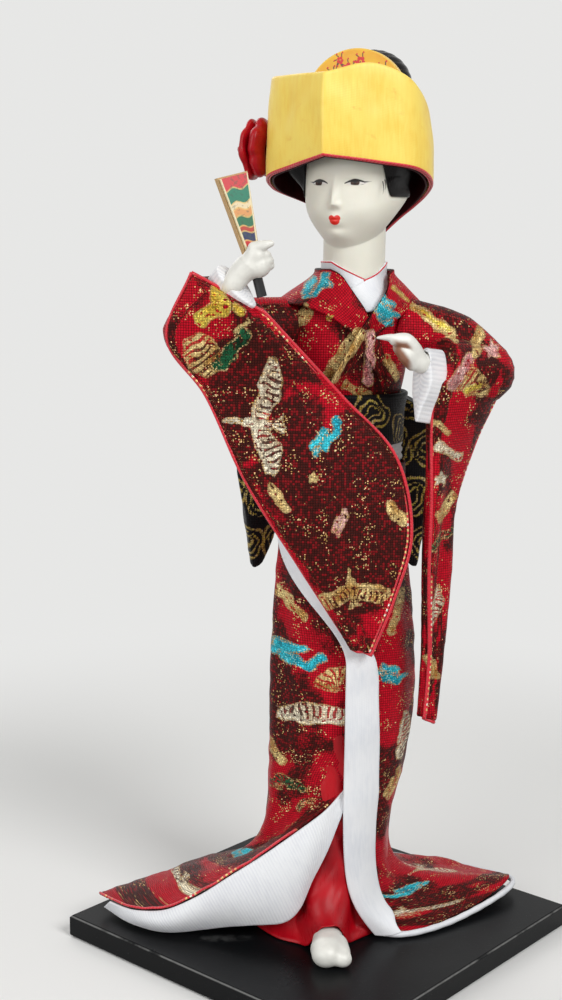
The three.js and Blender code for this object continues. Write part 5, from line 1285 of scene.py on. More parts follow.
def dress_chest(m):
    m.cloud("teal", (-10.4, -219.5), 38, 0.62)
    m.cloud("teal", (11.5, -212.5), -40, 0.6)
    m.cloud("teal", (10.5, -209.5), -40, 0.5)
    m.band("gold", (-7, 191.5), (2, 204.5), 1.9)
    m.band("pink", (6, 189), (5.5, 205), 1.6)
    m.band("gold", (-26, 201), (-14, 211), 1.9)
    m.blossom((-7.5, -209.5), 0.5, "lemon")
    m.band("lemon", (14, 219), (19, 214.5), 0.5)
    m.band("gold", (-2, 188), (6, 184), 1.5)
    m.band("gold", (12, 196), (16, 190), 1.5)


def make_bodice():
    def point(u, v):
        away = (u - 0.5) * 2 * math.pi
        top = np.minimum(BODICE_NECK_LEVEL, neckline(away) - 6)
        return on_body(CHEST_FRONT + away, lerp(BODICE_HEM_LEVEL, top, v), 1.0)

    p = grid(point, 150, 80)
    s, t = lengths(p)
    p = raised(p, 0.12 * bumps(p, 8.0))
    m = Motifs(s, t)
    for u, v, angle in ((0.1, 0.5, 20), (0.86, 0.6, 80)):
        m.fan("gold", at_share(s, t, u, v), angle, 0.9)
    m.cloud("teal", at_share(s, t, 0.98, 0.6), 10, 1.0)
    m.crane(at_share(s, t, 0.04, 0.7), 70, 1.0)
    front = Motifs(p[..., 0], -p[..., 2])
    dress_chest(front)
    obj = build("bodice_cloth", p, quads(*p.shape[:2]), joined(front, p[..., 1] < -2, m, s, t))
    thicken(obj, BROCADE_THICKNESS)
    finish_piece(obj, BROCADE, "figure", ["bodice"])


def collar_strip(side, top, width, offset, reach, lapped, clear):
    def point(u, v):
        before = lerp(math.pi * 0.995, -reach, u)
        lap = (lapped if side > 0 else 0.0) * smooth(before, 0.7, 0.2)
        flat = 0.9 * smooth(v, 0.1, 0.9) * smooth(before, 2.2, 1.2)
        low = lerp(offset(before), BODICE_OUT + clear, flat)
        narrow = lerp(1.0, 0.6, smooth(before, 0.05, -0.35))
        return on_body(CHEST_FRONT + side * before, top(before) - width * v * narrow, low + lap)

    return point


def inner_top(before):
    """Level of the inner collar's top, given the angle before the point of the V."""
    down = 1 - np.minimum(before / 1.076, 1)
    return lerp(NECKLINE_LEVEL, NECKLINE_POINT_LEVEL, down) - 5 * np.maximum(0, down - 1)


def collar_top(before):
    point = NECKLINE_POINT_LEVEL - COLLAR_DROP
    share = np.sin(np.minimum(before, 0.95)) / math.sin(0.95)
    return point + (NECKLINE_LEVEL - 2.5 - point) * 1.6 * share / (np.maximum(share, 0) + 0.6)


def inner_fit(before):
    return INNER_COLLAR_OUT - COLLAR_THICKNESS + 0 * before


def collar_fit(before):
    snug, loose = INNER_COLLAR_OUT + 2 * CLEARANCE, COLLAR_OUT - 2 * COLLAR_THICKNESS
    return lerp(loose, snug, smooth(before, 0.85, 1.6)) + COLLAR_THICKNESS / 2


# How far past the point of the V each collar runs, as an angle
INNER_COLLAR_PAST = {-1: 0.3, 1: 0.4}
COLLAR_PAST = {-1: 0.35, 1: 0.5}


def make_collars():
    for side, word in SIDES:
        reach = INNER_COLLAR_PAST[side]
        columns = 120
        shape = collar_strip(side, inner_top, INNER_COLLAR_WIDTH, inner_fit, reach, lapped=0.9, clear=0.2)
        p = grid(shape, columns, 20)
        s, t = lengths(p)
        obj = folded_strip("inner_collar_" + word + "_cloth", p, s, t, half=0.42)
        finish_piece(obj, WHITE_FINE, "figure", ["inner_collar_" + word])
        crossing = round(columns * math.pi / (math.pi + reach)) + 3
        rope, rope_faces = tube((p[0] + normals(p)[0] * 0.3 * side)[:crossing], radius=0.27)
        cord = build("neck_piping_" + word, rope, rope_faces, {"cloth": rope * (1, 1, 0)})
        finish_piece(cord, PIPING, "figure")
        reach = COLLAR_PAST[side]
        shape = collar_strip(side, collar_top, COLLAR_WIDTH, collar_fit, reach, lapped=1.3, clear=1.5)
        p = grid(shape, 140, 30)
        s, t = lengths(p)
        p = raised(p, 0.12 * bumps(p, 7.0))
        m = Motifs(s, t)
        m.cloud("teal", at_share(s, t, 0.2, 0.5), 0, 0.8)
        front = Motifs(p[..., 0], -p[..., 2])
        dress_chest(front)
        fields = joined(front, p[..., 1] < -2, m, s, t)
        obj = figured_strip("collar_" + word + "_cloth", p, fields, half=0.45)
        finish_piece(obj, BROCADE, "figure", ["collar_" + word])


OBI_RIPPLES = 8


def ring_point(low, height, offset):
    return lambda u, v: on_body(math.pi / 2 + u * 2 * math.pi, low + v * height, offset)


def make_obi():
    p = grid(ring_point(OBI_LEVEL, OBI_HEIGHT, OBI_OUT - 0.9), 220, 34)
    s, t = lengths(p)
    p = raised(p, 0.2 * bumps(p, 9.0))
    m = Motifs(s, t)
    width = s.max() - s.min()
    for k in range(OBI_RIPPLES):
        middle = (s.min() + (k + 0.5) * width / OBI_RIPPLES, 7 + 3.4 * (-1) ** k)
        m.ripples(middle, wobble=0.7, turn=k, reach=7.4, flatness=1.25)
    obj = figured_strip("obi_band_cloth", p, m.fields(), half=0.8)
    finish_piece(obj, OBI_CLOTH, "figure", ["obi_band"])
    p = grid(ring_point(SASH_LEVEL, SASH_HEIGHT, SASH_OUT - 0.5), 200, 24)
    s, t = lengths(p)
    p = raised(p, 0.28 * np.sin(t * 2.6 + 0.6 * np.sin(s * 0.12)))
    obj = folded_strip("sash_ring", p, t, s, half=0.4)
    finish_piece(obj, WHITE_FINE, "figure", ["sash"])


def from_node(name, node, voxel, rounds, swell=0.0, pitch=6.0):
    """A new mesh with a CAD node's form: remeshed finely, smoothed, and swollen unevenly where asked."""
    obj = bpy.data.objects.new(name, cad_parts[node].data.copy())
    scene.collection.objects.link(obj)
    ease_over(obj, voxel, rounds)
    settle(obj)
    if swell:
        co, n = points_of(obj), vertex_normals(obj)
        co += n * (swell * bumps(co, pitch))[:, None]
        set_points(obj, co)
    return obj


def points_of(obj):
    co = np.zeros(len(obj.data.vertices) * 3, np.float32)
    obj.data.vertices.foreach_get("co", co)
    return co.reshape(-1, 3).astype(float) / MM


def vertex_normals(obj):
    n = np.zeros(len(obj.data.vertices) * 3, np.float32)
    obj.data.vertices.foreach_get("normal", n)
    return n.reshape(-1, 3).astype(float)


def set_points(obj, co):
    obj.data.vertices.foreach_set("co", (co * MM).astype(np.float32).ravel())
    obj.data.update()


def weave_of(points, n):
    """Thread coordinates on a rounded cloth, from the nearest of eight upright planes or the level one."""
    turn = np.round(np.arctan2(n[:, 1], n[:, 0]) * 4 / math.pi) * math.pi / 4
    upright = points[:, 1] * np.cos(turn) - points[:, 0] * np.sin(turn)
    level = np.abs(n[:, 2]) > 0.8
    return np.where(level, points[:, 0], upright), np.where(level, points[:, 1], -points[:, 2])


def add_fields(obj, fields):
    for key, values in fields.items():
        attribute = obj.data.attributes.get(key) or obj.data.attributes.new(key, "FLOAT_VECTOR", "POINT")
        attribute.data.foreach_set("vector", np.asarray(values, np.float32).ravel())


def make_bow():
    for node in ("obi_knot", "obi_loop_right", "obi_loop_left"):
        obj = from_node(node + "_cloth", node, voxel=0.8, rounds=8, swell=0.45, pitch=7.0)
        co = points_of(obj)
        m = Motifs(co[:, 0], -co[:, 2])
        for k in range(-3, 4):
            for j in range(5):
                middle = (5 + k * 13 + 6.5 * (j % 2), -188 + j * 17)
                m.ripples(middle, wobble=0.6, turn=k, reach=7)
        s, t = weave_of(co, vertex_normals(obj))
        add_fields(obj, m.fields(s, t))
        finish_piece(obj, OBI_CLOTH, "figure", [node])


# Sleeves

BAGS = {
    -1: {
        "near": [(-51.5, -29.5, 223.5), (-59, -25, 203), (-47, -25, 185.5),
                 (-34.5, -27, 159), (-17, -27, 131), (1, -26, 103)],
        "far": [(-29, -31.5, 211.5), (-4, -27, 185), (13.5, -27, 166),
                (19, -28, 141), (14, -27.5, 120), (7, -26, 101)],
        "fold": (0, 1, 0),
    },
    1: {
        "near": [(25, -28, 191), (24.5, -26, 172), (24.6, -25, 150),
                 (24.6, -24, 126), (26, -22, 98), (25.5, -22, 78)],
        "far": [(49, -11, 186), (41, -11, 168), (34, -12.5, 147),
                (33, -14, 124), (31.2, -16, 98), (29.5, -18, 75)],
        "fold": (0.7, -0.7, 0),
    },
}


def bag_point(side, u, v):
    spine = BAGS[side]
    p = lerp(catmull(spine["near"], v), catmull(spine["far"], v), u[..., None])
    swing = np.sin(math.pi * u * 2.2 + 3 * v) * 1.1 * smooth(v, 0.1, 0.4)
    return p + swing[..., None] * np.array(spine["fold"], float)


def bag_solid(side):
    rows, columns = 111, 49
    p = grid(lambda u, v: bag_point(side, u, v), columns - 1, rows - 1)
    v, u = np.meshgrid(np.linspace(0, 1, rows), np.linspace(0, 1, columns), indexing="ij")
    n = normals(p)
    down = lerp(1, 0.25, smooth(v, 0.1, 0.9)) * lerp(1.5, 1, smooth(v, 0, 0.3))
    half = SLEEVE_EDGE / 2 + SLEEVE_PUFF[side] * np.sqrt(np.maximum(0, u * (1 - u))) * down
    faces = quads(rows, columns)
    count = rows * columns
    foot = count - columns
    rim = [(j, j + columns) for j in range(0, foot, columns)]
    rim += [(i, i + 1) for i in range(foot, count - 1)]
    rim += [(j, j - columns) for j in range(count - 1, columns, -columns)]
    rim += [(i, i - 1) for i in range(columns - 1, 0, -1)]
    closed = faces + [[i + count for i in reversed(f)] for f in faces]
    closed += [[a, b, b + count, a + count] for a, b in rim]
    thick = n * half[..., None]
    return np.vstack(((p + thick).reshape(-1, 3), (p - thick).reshape(-1, 3))), closed


def make_sleeve(side, word):
    shoulder, elbow, wrist = SHOULDERS[side], ELBOWS[side], WRISTS[side]
    end = wrist - unit(wrist - elbow) * CUFF_REACH
    start = shoulder + (-side * 6, 0, 1)
    middle = lerp(start, elbow, 0.55) + SLEEVE_LIFT[side]
    r = SLEEVE_ARM_RADIUS
    sides = 40
    upper = tube(catmull((start, middle, elbow), np.linspace(0, 1, 16)), r * 1.09, sides)
    lower = tube(lerp(elbow, end, np.linspace(0, 1, 14)[:, None]), np.linspace(r, r * 0.95, 14), sides)
    bend = np.linspace(0, math.pi, 24)
    middles = elbow + np.outer(-np.cos(bend) * r * 1.06, unit(end - start))
    ball = tube(middles, np.sin(bend) * r * 1.06 + 1e-3, sides)
    points, faces = gather((upper, lower, ball, bag_solid(side)))
    obj = build("sleeve_" + word + "_cloth", points, faces)
    ease_over(obj, voxel=0.85, rounds=7)
    settle(obj)
    co, n = points_of(obj), vertex_normals(obj)
    local = co - FIGURE_AT
    near_elbow = np.exp(-((np.linalg.norm(local - elbow, axis=1) / 20) ** 2))
    slant = np.array((0.5, 0.3, 1.3)) if side > 0 else np.array((1.2, 0.3, 0.7))
    crease = bumps(local * slant, 6.0)
    drape = bumps(local * (1, 1, 0.35), 15.0, 5.0)
    co = co + n * (0.55 * drape - (0.9 * near_elbow + 0.15) * np.abs(crease) + 0.25)[:, None]
    set_points(obj, co)
    local = co - FIGURE_AT
    s, t = weave_of(local, n)
    front, back = Motifs(local[:, 0], -local[:, 2]), Motifs(local[:, 0], -local[:, 2])
    if side < 0:
        dress_right_sleeve(front)
    else:
        dress_left_sleeve(front)
    dress_back(back, side)
    add_fields(obj, joined(front, n[:, 1] < 0.1, back, s, t))
    thicken(obj, 0.5, -1.0)
    return finish_piece(obj, BROCADE, "figure", ["sleeve_" + word])


def dress_right_sleeve(m):
    # Painted shade: dark ovals over the sleeve's lower panel and folds, where it lies in shade.
    m.patch((2, 148), 18, 34)
    m.patch((-19, 166), 12, 22)
    m.patch((-40, 176), 10, 18)
    m.patch((-30, 188), 9, 8)
    m.patch((-22, 198), 9, 7)
    m.crane((-31.7, -176.7), 180, 1.0, True)
    m.cloud("teal", (-8.7, -173.3), 48, 0.75)
    m.band("lemon", (-48.5, 209.5), (-42.5, 214.5), 2.3)
    m.band("lemon", (-44, 217.5), (-42, 213), 2.2)
    m.band("lemon", (-38, 213.5), (-36, 211.5), 1.2)
    x, y = m.local((-48, -198), 35, 1.0)
    m.lay("gold", oval(x, y, (0, 0), 5.6, 7.4), 1.0, 2.9 * y)
    m.band("green", (-35.5, 205), (-42.5, 195.5), 2.2)
    m.band("gold", (-34, 209), (-38, 206), 0.6)
    m.crane((0, -124), 100, 0.75, False, "gold")
    m.cloud("pink", (-4, -146), 70, 0.5)
    m.band("gold", (-22, 150), (-26, 156), 1.4)
    m.band("gold", (12, 150), (16, 146), 1.8)
    m.blossom((-13, -160), 0.55, "gold")


def dress_left_sleeve(m):
    m.band("gold", (20.6, 213.5), (32.5, 204.5), 1.7)
    m.band("lemon", (24, 211.5), (31, 206), 0.8)
    m.fan("gold", (33, -185), -48, 0.85)
    m.band("lemon", (36, 187), (40, 189), 1.2)
    m.blossom((45, -200), 0.95)
    m.band("pink", (31, 189), (36, 198), 2.0)
    m.band("gold", (38, 199), (42, 205), 1.5)
    m.band("cream", (27, 169.5), (36, 165), 1.3)
    m.blossom((28.6, -158.8), 0.75, "cream")
    m.pine((31, -138), 20, 0.6)
    m.band("gold", (29, 146), (34, 151), 2.0)
    m.band("gold", (24, 178), (31, 174), 0.8)
    m.lone_wing((30, -122), 150, 0.6)
    m.band("gold", (27, 98), (30, 92), 1.5)


def dress_back(m, side):
    m.crane((side * 30, -180), 90 - side * 60, 0.95)
    m.cloud("teal", (side * 44, -200), 20, 0.8)
    m.fan("gold", (side * 26, -150), 20 * side, 0.9)
    m.pine((side * 12, -165), 10, 0.8)
    m.blossom((side * 18, -130), 0.9)
    m.fan("gold", (side * 10, -115), 40, 0.7)


def make_piping(side, word):
    v = np.linspace(0, 1, 120)
    flat = 0 * v
    near, far = bag_point(side, flat, v), bag_point(side, flat + 1, v)
    foot = bag_point(side, np.linspace(0, 1, 12), flat[:12] + 1)
    mouth = bag_point(side, np.linspace(1, 0, 16), flat[:16])
    border = np.vstack((mouth[::-1][:-1], far, foot[::-1][1:-1], near[::-1]))
    middle = bag_point(side, flat + 0.5, v).mean(0)
    toward = unit(middle - border)
    parts = []
    front = np.array((0, -1, 0)) if side < 0 else unit(np.array((0.7, -0.7, 0)))
    for inset, out, radius in ((-0.25, 0.75, 0.6), (1.2, 1.25, 0.36)):
        parts.append(tube(border + toward * inset + front * out, radius, 8))
    points, faces = gather(parts)
    around, run = (np.tile(value, 2) for value in cord_threads(border, step=0.45))
    stitched = np.repeat((0.0, 1.0), len(border) * 8)
    obj = build("sleeve_piping_" + word, points, faces, threads(around, run, stitched))
    finish_piece(obj, PIPING, "figure")


def make_cuff(side, word):
    wrist, elbow, cuff = WRISTS[side], ELBOWS[side], CUFFS[side]
    along = unit(wrist - elbow)
    wide = unit(np.cross(along, cuff["long"]))
    away = unit(np.cross(wide, along))

    def point(u, v):
        angle = 2 * math.pi * u
        turned_in = smooth(v, 0.62, 1.0)
        risen = np.sin(np.minimum(1, v / 0.72) * math.pi / 2)
        out = lerp(-CUFF_REACH - 4, -CUFF_REACH * 0.28, risen) + 0.8 * turned_in
        pleat = 1 + 0.05 * np.sin(5 * angle + 1) * smooth(v, 0.1, 0.5)
        narrow = lerp(1, cuff["point"], smooth(np.cos(angle), -0.3, 1))
        reach = lerp(cuff["shift"] + cuff["half"] * np.cos(angle), CUFF_MOUTH * np.cos(angle), turned_in)
        across = lerp(CUFF_HALF_WIDTH * narrow * pleat, CUFF_MOUTH, turned_in) * np.sin(angle)
        return wrist + along * out[..., None] + away * reach[..., None] + wide * across[..., None]

    p = grid(point, 120, 48)
    s, t = lengths(p)
    p = raised(p, 0.2 * bumps(p, 5.0))
    obj = folded_strip("cuff_" + word + "_cloth", p, s, t, half=0.3)
    finish_piece(obj, WHITE_CREPE, "figure", ["cuff_" + word])


# Head

EYE_AT = 6.4
EYE_LEVEL = 252.1
EYE_HALF_WIDTH = 3.3
EYE_HALF_OPENING = 0.75
IRIS_RADIUS = 1.4
PUPIL_RADIUS = 0.5
UPPER_LIP_LEVEL = 241.0
LOWER_LIP_LEVEL = 240.2
NOSE_TIP_LEVEL = 245.4
# The face's forms: height, then middle and size across, then middle and size in level
FACE_FORMS = {
    "nostrils": (0.6, 1.7, 0.8, 245, 1.2),
    "mouth": (0.8, 0, 2.6, 240.4, 2.2),
    "parting of the lips": (-0.3, 0, 1.8, 240.5, 0.32),
    "chin": (1.3, 0, 4.2, 235.4, 2.4),
    "hollow over the chin": (-0.35, 0, 3.0, 237.8, 1.0),
    "cheeks": (0.6, 7.8, 3.6, 243.5, 4.2),
    "eye sockets": (-1.0, 5.6, 3.4, 252.4, 2.0),
    "upper lids": (0.5, EYE_AT, 3.0, 253.6, 0.8),
    "lower lids": (0.25, EYE_AT, 3.0, 251, 0.7),
    "brows": (0.4, EYE_AT, 4.0, 257.5, 2.4),
}
COMB_SPRAYS = (
    (-13.0, 8.5, 0.95), (-8.6, 10.8, 1.1), (-2.8, 12.6, 1.25), (1.8, 14.8, 1.05),
    (4.8, 11.0, 1.05), (9.8, 11.4, 1.2), (13.4, 7.8, 1.0), (-5.6, 15.4, 0.8),
)
WISPS = 18


def head_reach(level, back):
    """Half-width and depth of the head at a level, where back runs from -1 at the face to 1 at the nape."""
    up = np.clip((level - CHIN_LEVEL) / (CROWN_LEVEL - CHIN_LEVEL), 0, 1)
    dome = np.sqrt(np.maximum(0, 1 - smooth(up, 0.45, 1.02) ** 2.2))
    jaw = CHIN_LEVEL - 1.5 + 1.25 * JAW_RISE * np.clip((back + 1) / 1.35, 0, 1) ** 0.85
    face = (1 - (1 - np.clip((level - jaw) / CHIN_ROUND, 0, 1)) ** 2) ** 1.15
    ear = EAR_REACH * np.exp(-(((back - 0.22) / 0.2) ** 2) - ((level - EAR_LEVEL) / 4.5) ** 2)
    wide = lerp(NECK_RADIUS, FACE_HALF_WIDTH * dome, face) + ear
    return wide, lerp(NECK_RADIUS, np.where(back < 0, FACE_FRONT, HEAD_BACK) * dome, face)


def make_head():
    w = np.linspace(-1, 1, 281)
    low = np.linspace(NECK_SEAT_LEVEL + 0.4, CHIN_LEVEL - 2.4, 20)
    high = np.linspace(CHIN_LEVEL - 2.1, CROWN_LEVEL - 0.05, 180)
    level, phi = np.meshgrid(np.concatenate((low, high)), math.pi * (0.5 * w + 0.5 * w**3), indexing="ij")
    ahead = np.cos(phi)
    wide, deep = head_reach(level, -ahead)
    x = wide * np.sin(phi)
    y = -deep * ahead
    side = np.abs(x)

    def knob(value, middle, size):
        return np.exp(-(((value - middle) / size) ** 2))

    down_the_nose = np.where(level > NOSE_TIP_LEVEL, 5.4, 1.3)
    lift = 2.3 * knob(x, 0, 1.5) * knob(level, NOSE_TIP_LEVEL, down_the_nose)
    for height, across, size, at, tall in FACE_FORMS.values():
        lift += height * knob(side, across, size) * knob(level, at, tall)
    y = y - lift * smooth(ahead, 0.05, 0.45)
    p = stack(x, y, level)
    hidden = np.where(ahead > 0.2, 0.0, 3.0)
    e = side - EYE_AT
    arch = EYE_LEVEL + EYE_HALF_OPENING - 0.085 * e * e
    upper = np.where(e < 2.5, arch, EYE_LEVEL + 0.22 + 0.1 * (e - 2.5))
    lower = EYE_LEVEL - EYE_HALF_OPENING + 0.055 * e * e
    almond = np.maximum.reduce((level - upper, lower - level, np.abs(e) - EYE_HALF_WIDTH)) + hidden
    lid = np.maximum(np.abs(level - upper) - 0.46 + 0.085 * np.abs(e + 0.3), np.abs(e - 0.5) - 4.0) + hidden
    under = np.maximum(np.abs(level - lower) - 0.07, np.abs(e - 0.6) - 2.2) + hidden
    from_gaze = np.hypot(x - np.sign(x) * EYE_AT + 0.35, level - EYE_LEVEL - 0.1)
    iris = np.maximum(from_gaze - IRIS_RADIUS, almond)
    pupil = np.maximum(from_gaze - PUPIL_RADIUS, almond)
    upper_lip = np.hypot(side - 1.0, (level - UPPER_LIP_LEVEL) * 1.15) - 1.05
    lower_lip = (np.hypot(x / 1.75, (level - LOWER_LIP_LEVEL) / 1.35) - 1) * 1.4
    lips = np.minimum(upper_lip, lower_lip) + hidden
    fields = {
        "paint_a": stack(lips.ravel(), np.minimum(lid, under).ravel(), iris.ravel()),
        "paint_b": stack(almond.ravel(), pupil.ravel(), 0.0),
    }
    rows, columns = p.shape[:2]
    faces = quads(rows, columns) + [[(rows - 1) * columns + i for i in range(columns)]]
    obj = build("head_cast", p, faces, fields, True)
    finish_piece(obj, SKIN, "head", ["head"])


def make_hair():
    u, v = np.meshgrid(np.linspace(0, 1, 321), np.linspace(0, 1, 91))
    phi = 2 * math.pi * u + math.pi / 2
    ahead = np.maximum(0, -np.sin(phi))
    hem = lerp(HAIR_HEM_LEVEL + 1.5, HAIRLINE_LEVEL, smooth(ahead, 0.38, 0.72))
    level = lerp(hem, HAIR_AT[2] + HAIR_RADII[2] - 0.02, np.sin(v * math.pi / 2))
    across = np.sqrt(1 - np.clip((level - HAIR_AT[2]) / HAIR_RADII[2], -1, 1) ** 2)
    ridges = np.array([noise.noise((k * 0.37, 1.7, 0)) for k in range(u.shape[1])]) * 0.35
    ridges[-12:] = lerp(ridges[-12:], ridges[0], np.linspace(0, 1, 12))
    puff = 1 + 0.02 * ridges + 0.02 * np.exp(-(((v - 0.25) / 0.12) ** 2))
    x = HAIR_AT[0] + HAIR_RADII[0] * across * puff * np.cos(phi)
    y = HAIR_AT[1] + HAIR_RADII[1] * across * puff * np.sin(phi)
    wide, deep = head_reach(level, np.sin(phi))
    tuck = np.exp(-((v / 0.11) ** 2))
    x = lerp(x, (wide + 0.5) * np.cos(phi), tuck)
    y = lerp(y, (deep + 0.5) * np.sin(phi), tuck)
    obj = build("hair_cap", stack(x, y, level), quads(*x.shape), threads(u * 140, v * 40), True)
    thicken(obj, 0.4, -1.0)
    finish_piece(obj, HAIR, "head", ["hair"])
    v, u = np.meshgrid(np.linspace(0, 1, 61), np.linspace(0, 1, 161), indexing="ij")
    theta, phi = math.pi * (v - 0.5), 2 * math.pi * u
    groove = 1 + 0.006 * np.sin(26 * theta + 3 * np.sin(phi)) + 0.02 * np.cos(3 * phi)
    ball = stack(np.cos(theta) * np.cos(phi), np.cos(theta) * np.sin(phi), np.sin(theta))
    bun = BUN_AT + ball * BUN_RADII * groove[..., None]
    bun[..., 1] = np.maximum(bun[..., 1], COMB_AT[1] + COMB_THICKNESS / 2 + CLEARANCE)
    obj = build("hair_bun_roll", bun, quads(*theta.shape), threads(theta * 12, phi * 12), True)
    finish_piece(obj, HAIR, "head", ["hair_bun"])
    parts = []
    for k in range(WISPS):
        lean = noise.noise((k * 1.3, 0.2, 4.0))
        turn = 0.12 - 0.045 * k
        start = np.array((17.4 * math.cos(turn), 17.0 * math.sin(turn), 259.6 - 0.4 * k + 1.2 * lean))
        end = start + (0.6, -1.2 - 0.8 * lean, -3.4 - 1.6 * noise.noise((k * 2.1, 3.0, 1.0)))
        t = np.linspace(0, 1, 9)[:, None]
        path = lerp(start, end, t) + np.array((0.45, -0.4, 0)) * np.sin(t * math.pi)
        parts.append(tube(path, np.linspace(0.16, 0.03, 9), 5))
    points, faces = gather(parts)
    obj = build("hair_wisps", points, faces, threads(points[:, 0], points[:, 2]), True)
    finish_piece(obj, HAIR, "head")


def make_comb():
    u, v = np.meshgrid(np.linspace(-1, 1, 171), np.linspace(0, 1, 71))
    x = (COMB_RADIUS - 0.03) * np.sin(u * math.pi / 2)
    top = np.sqrt(COMB_RADIUS**2 - x**2)
    z = lerp(np.minimum(COMB_FOOT_LEVEL - COMB_AT[2], top - 0.05), top, v)
    edge = COMB_RADIUS - np.hypot(x, z)
    red = np.full(x.shape, 3.0)
    brown = np.full(x.shape, 3.0)
    for k, (cx, cz, size) in enumerate(COMB_SPRAYS):
        for j in range(5):
            turn = j * 1.257 + 0.7 * k
            petal = (cx + size * math.cos(turn), cz + size * math.sin(turn))
            red = np.minimum(red, disc(x, z, petal, 0.62 * size))
        for j in range(5):
            turn = 0.5 + j * 0.95 + 0.6 * (k % 2)
            at = (cx + 1.6 * size * math.cos(turn), cz + 1.6 * size * math.sin(turn))
            tip = (at[0] + 1.1 * math.cos(turn + 0.5), at[1] + 1.1 * math.sin(turn + 0.5))
            brown = np.minimum(brown, rod(x, z, at, tip, 0.2))
            red = np.minimum(red, disc(x, z, (tip[0] + 0.3, tip[1] + 0.2), 0.34))
        brown = np.minimum(brown, rod(x, z, (cx, cz), (cx - 1.6, cz - 3.0), 0.16))
    fields = {"ink_a": stack(red.ravel(), brown.ravel(), edge.ravel())}
    obj = build("comb_plate", COMB_AT + stack(x, 0 * x, z), quads(*x.shape), fields, True)
    thicken(obj, COMB_THICKNESS)
    soften = obj.modifiers.new("edge", "BEVEL")
    soften.width = 0.4 * MM
    soften.segments = 2
    soften.limit_method = "ANGLE"
    finish_piece(obj, COMB, "head", ["comb"])


BAND_PLAN = [(0, -1), (0.46, -0.7), (0.91, -0.34), (1, 0.12), (0.74, 0.74), (0.3, 0.99), (0, 1.02)]
BAND_FOOT = {
    -1: [(0, 260.7), (0.2, 257.4), (0.4, 253.6), (0.72, 244), (0.86, 235.8), (1, 231.5)],
    1: [(0, 260.7), (0.2, 258.9), (0.4, 256.3), (0.55, 252), (0.72, 244), (0.86, 235.8), (1, 231.5)],
}
BAND_HEAD = {
    -1: [(0, 284.5), (0.24, 285), (0.4, 284.6), (0.47, 282.5), (0.6, 272), (0.84, 261), (1, 257)],
    1: [(0, 284.5), (0.2, 287.5), (0.3, 284.5), (0.4, 279.5),
        (0.5, 274), (0.66, 268), (0.84, 261), (1, 257)],
}


def on_hat(p):
    """From the headdress's own frame to the head's."""
    c, s = math.cos(HAT_TURN), math.sin(HAT_TURN)
    return stack(p[..., 0] * c - p[..., 1] * s, p[..., 0] * s + p[..., 1] * c, p[..., 2]) + HAT_SHIFT


def band_point(u, v, inset=0.0, drop=0.0):
    side = np.where(u < 0.5, -1, 1)
    share = np.minimum(1, np.abs(1 - 2 * u))
    share = np.sqrt(share**2 + 0.0003) - 0.0173 * (1 - share)
    q = catmull(np.column_stack((np.array(BAND_PLAN, float), np.zeros(len(BAND_PLAN)))), share)
    low = np.where(side < 0, profile(BAND_FOOT[-1], share), profile(BAND_FOOT[1], share)) - drop
    high = np.where(side < 0, profile(BAND_HEAD[-1], share), profile(BAND_HEAD[1], share))
    lean = lerp(1.02, 0.96, v) * lerp(1, lerp(0.76, 1, v), smooth(share, 0.5, 0.92))
    x = (HAT_HALF_WIDTH - inset) * q[..., 0] * lean
    deep = np.where(q[..., 1] < 0, HAT_RIDGE - inset, (HAT_NAPE - inset) * lean)
    return on_hat(stack(side * x, deep * q[..., 1], lerp(low, high, v)))


def make_headdress():
    p = grid(band_point, 260, 64)
    s, t = lengths(p)
    n = normals(p)
    n *= np.sign(np.sum(n * (p - HAT_SHIFT - (0, 0, 262)) * (1, 1, 0), axis=-1, keepdims=True))
    dent = 0.5 * bumps(stack(s * 0.7, t, 0 * s), 12.0) + 0.22 * bumps(stack(s, t * 0.6, 0 * s), 5.0, 2.0)
    high = t / t.max(0, keepdims=True)
    p = p + n * ((0.5 + dent) * np.sin(math.pi * np.clip(high, 0, 1)) ** 0.6)[..., None]
    band = folded_strip("headdress_band", p, s, t, half=0.6, steps=6, on_head=True)
    finish_piece(band, YELLOW_SATIN, "head", ["headdress"])
    share = np.linspace(0, 1, 241)
    rim = band_point(share, 0 * share)
    inward = unit((HAT_SHIFT - rim) * (1, 1, 0))
    pipes = []
    for inset, drop, radius in ((-0.3, -0.45, 0.42), (0.45, -0.75, 0.3)):
        pipes.append(tube(rim + inward * inset + (0, 0, drop), radius, 8))
    points, faces = gather(pipes)
    around, run = (np.tile(value, 2) for value in cord_threads(rim))
    piping = build("headdress_piping", points, faces, threads(around, run), True)
    finish_piece(piping, PIPING, "head")
    p = grid(lambda u, v: band_point(u, lerp(0, 0.97, v), 1.65, 0.9), 200, 30)
    s, t = lengths(p)
    p = raised(p, 0.12 * bumps(p, 8.0))
    lining = folded_strip("headdress_lining_band", p, s, t, half=0.35, on_head=True)
    # The lining's near-black satin is partly its own dark red and partly painted shade for the headdress's
    # inside.
    finish_piece(lining, LINING_SATIN_PAINTED_SHADE, "head", ["headdress_lining"])


def ribbon_roll(radius, foot, top, level, folds, seed):
    """A gathered ribbon turned into a fat round, opening along the headdress's -X."""
    def point(u, v):
        a = 2 * math.pi * u
        lobe = 1 - 0.1 * np.abs(np.cos(folds * a / 2 + seed)) ** 8 + 0.03 * np.sin(3 * a + seed)
        turn = math.pi * lerp(0.04, 0.96, v)
        r = 1.5 + (radius * lobe - 1.5) * np.sin(turn) ** 0.62
        out = lerp(foot, top, (1 - np.cos(turn)) / 2) + 0.5 * np.sin(2 * a + seed)
        return on_hat(stack(-(ROSE_FOOT + out), r * np.cos(a) - ROSE_FORWARD, level + r * np.sin(a)))

    return grid(point, 120, 40)


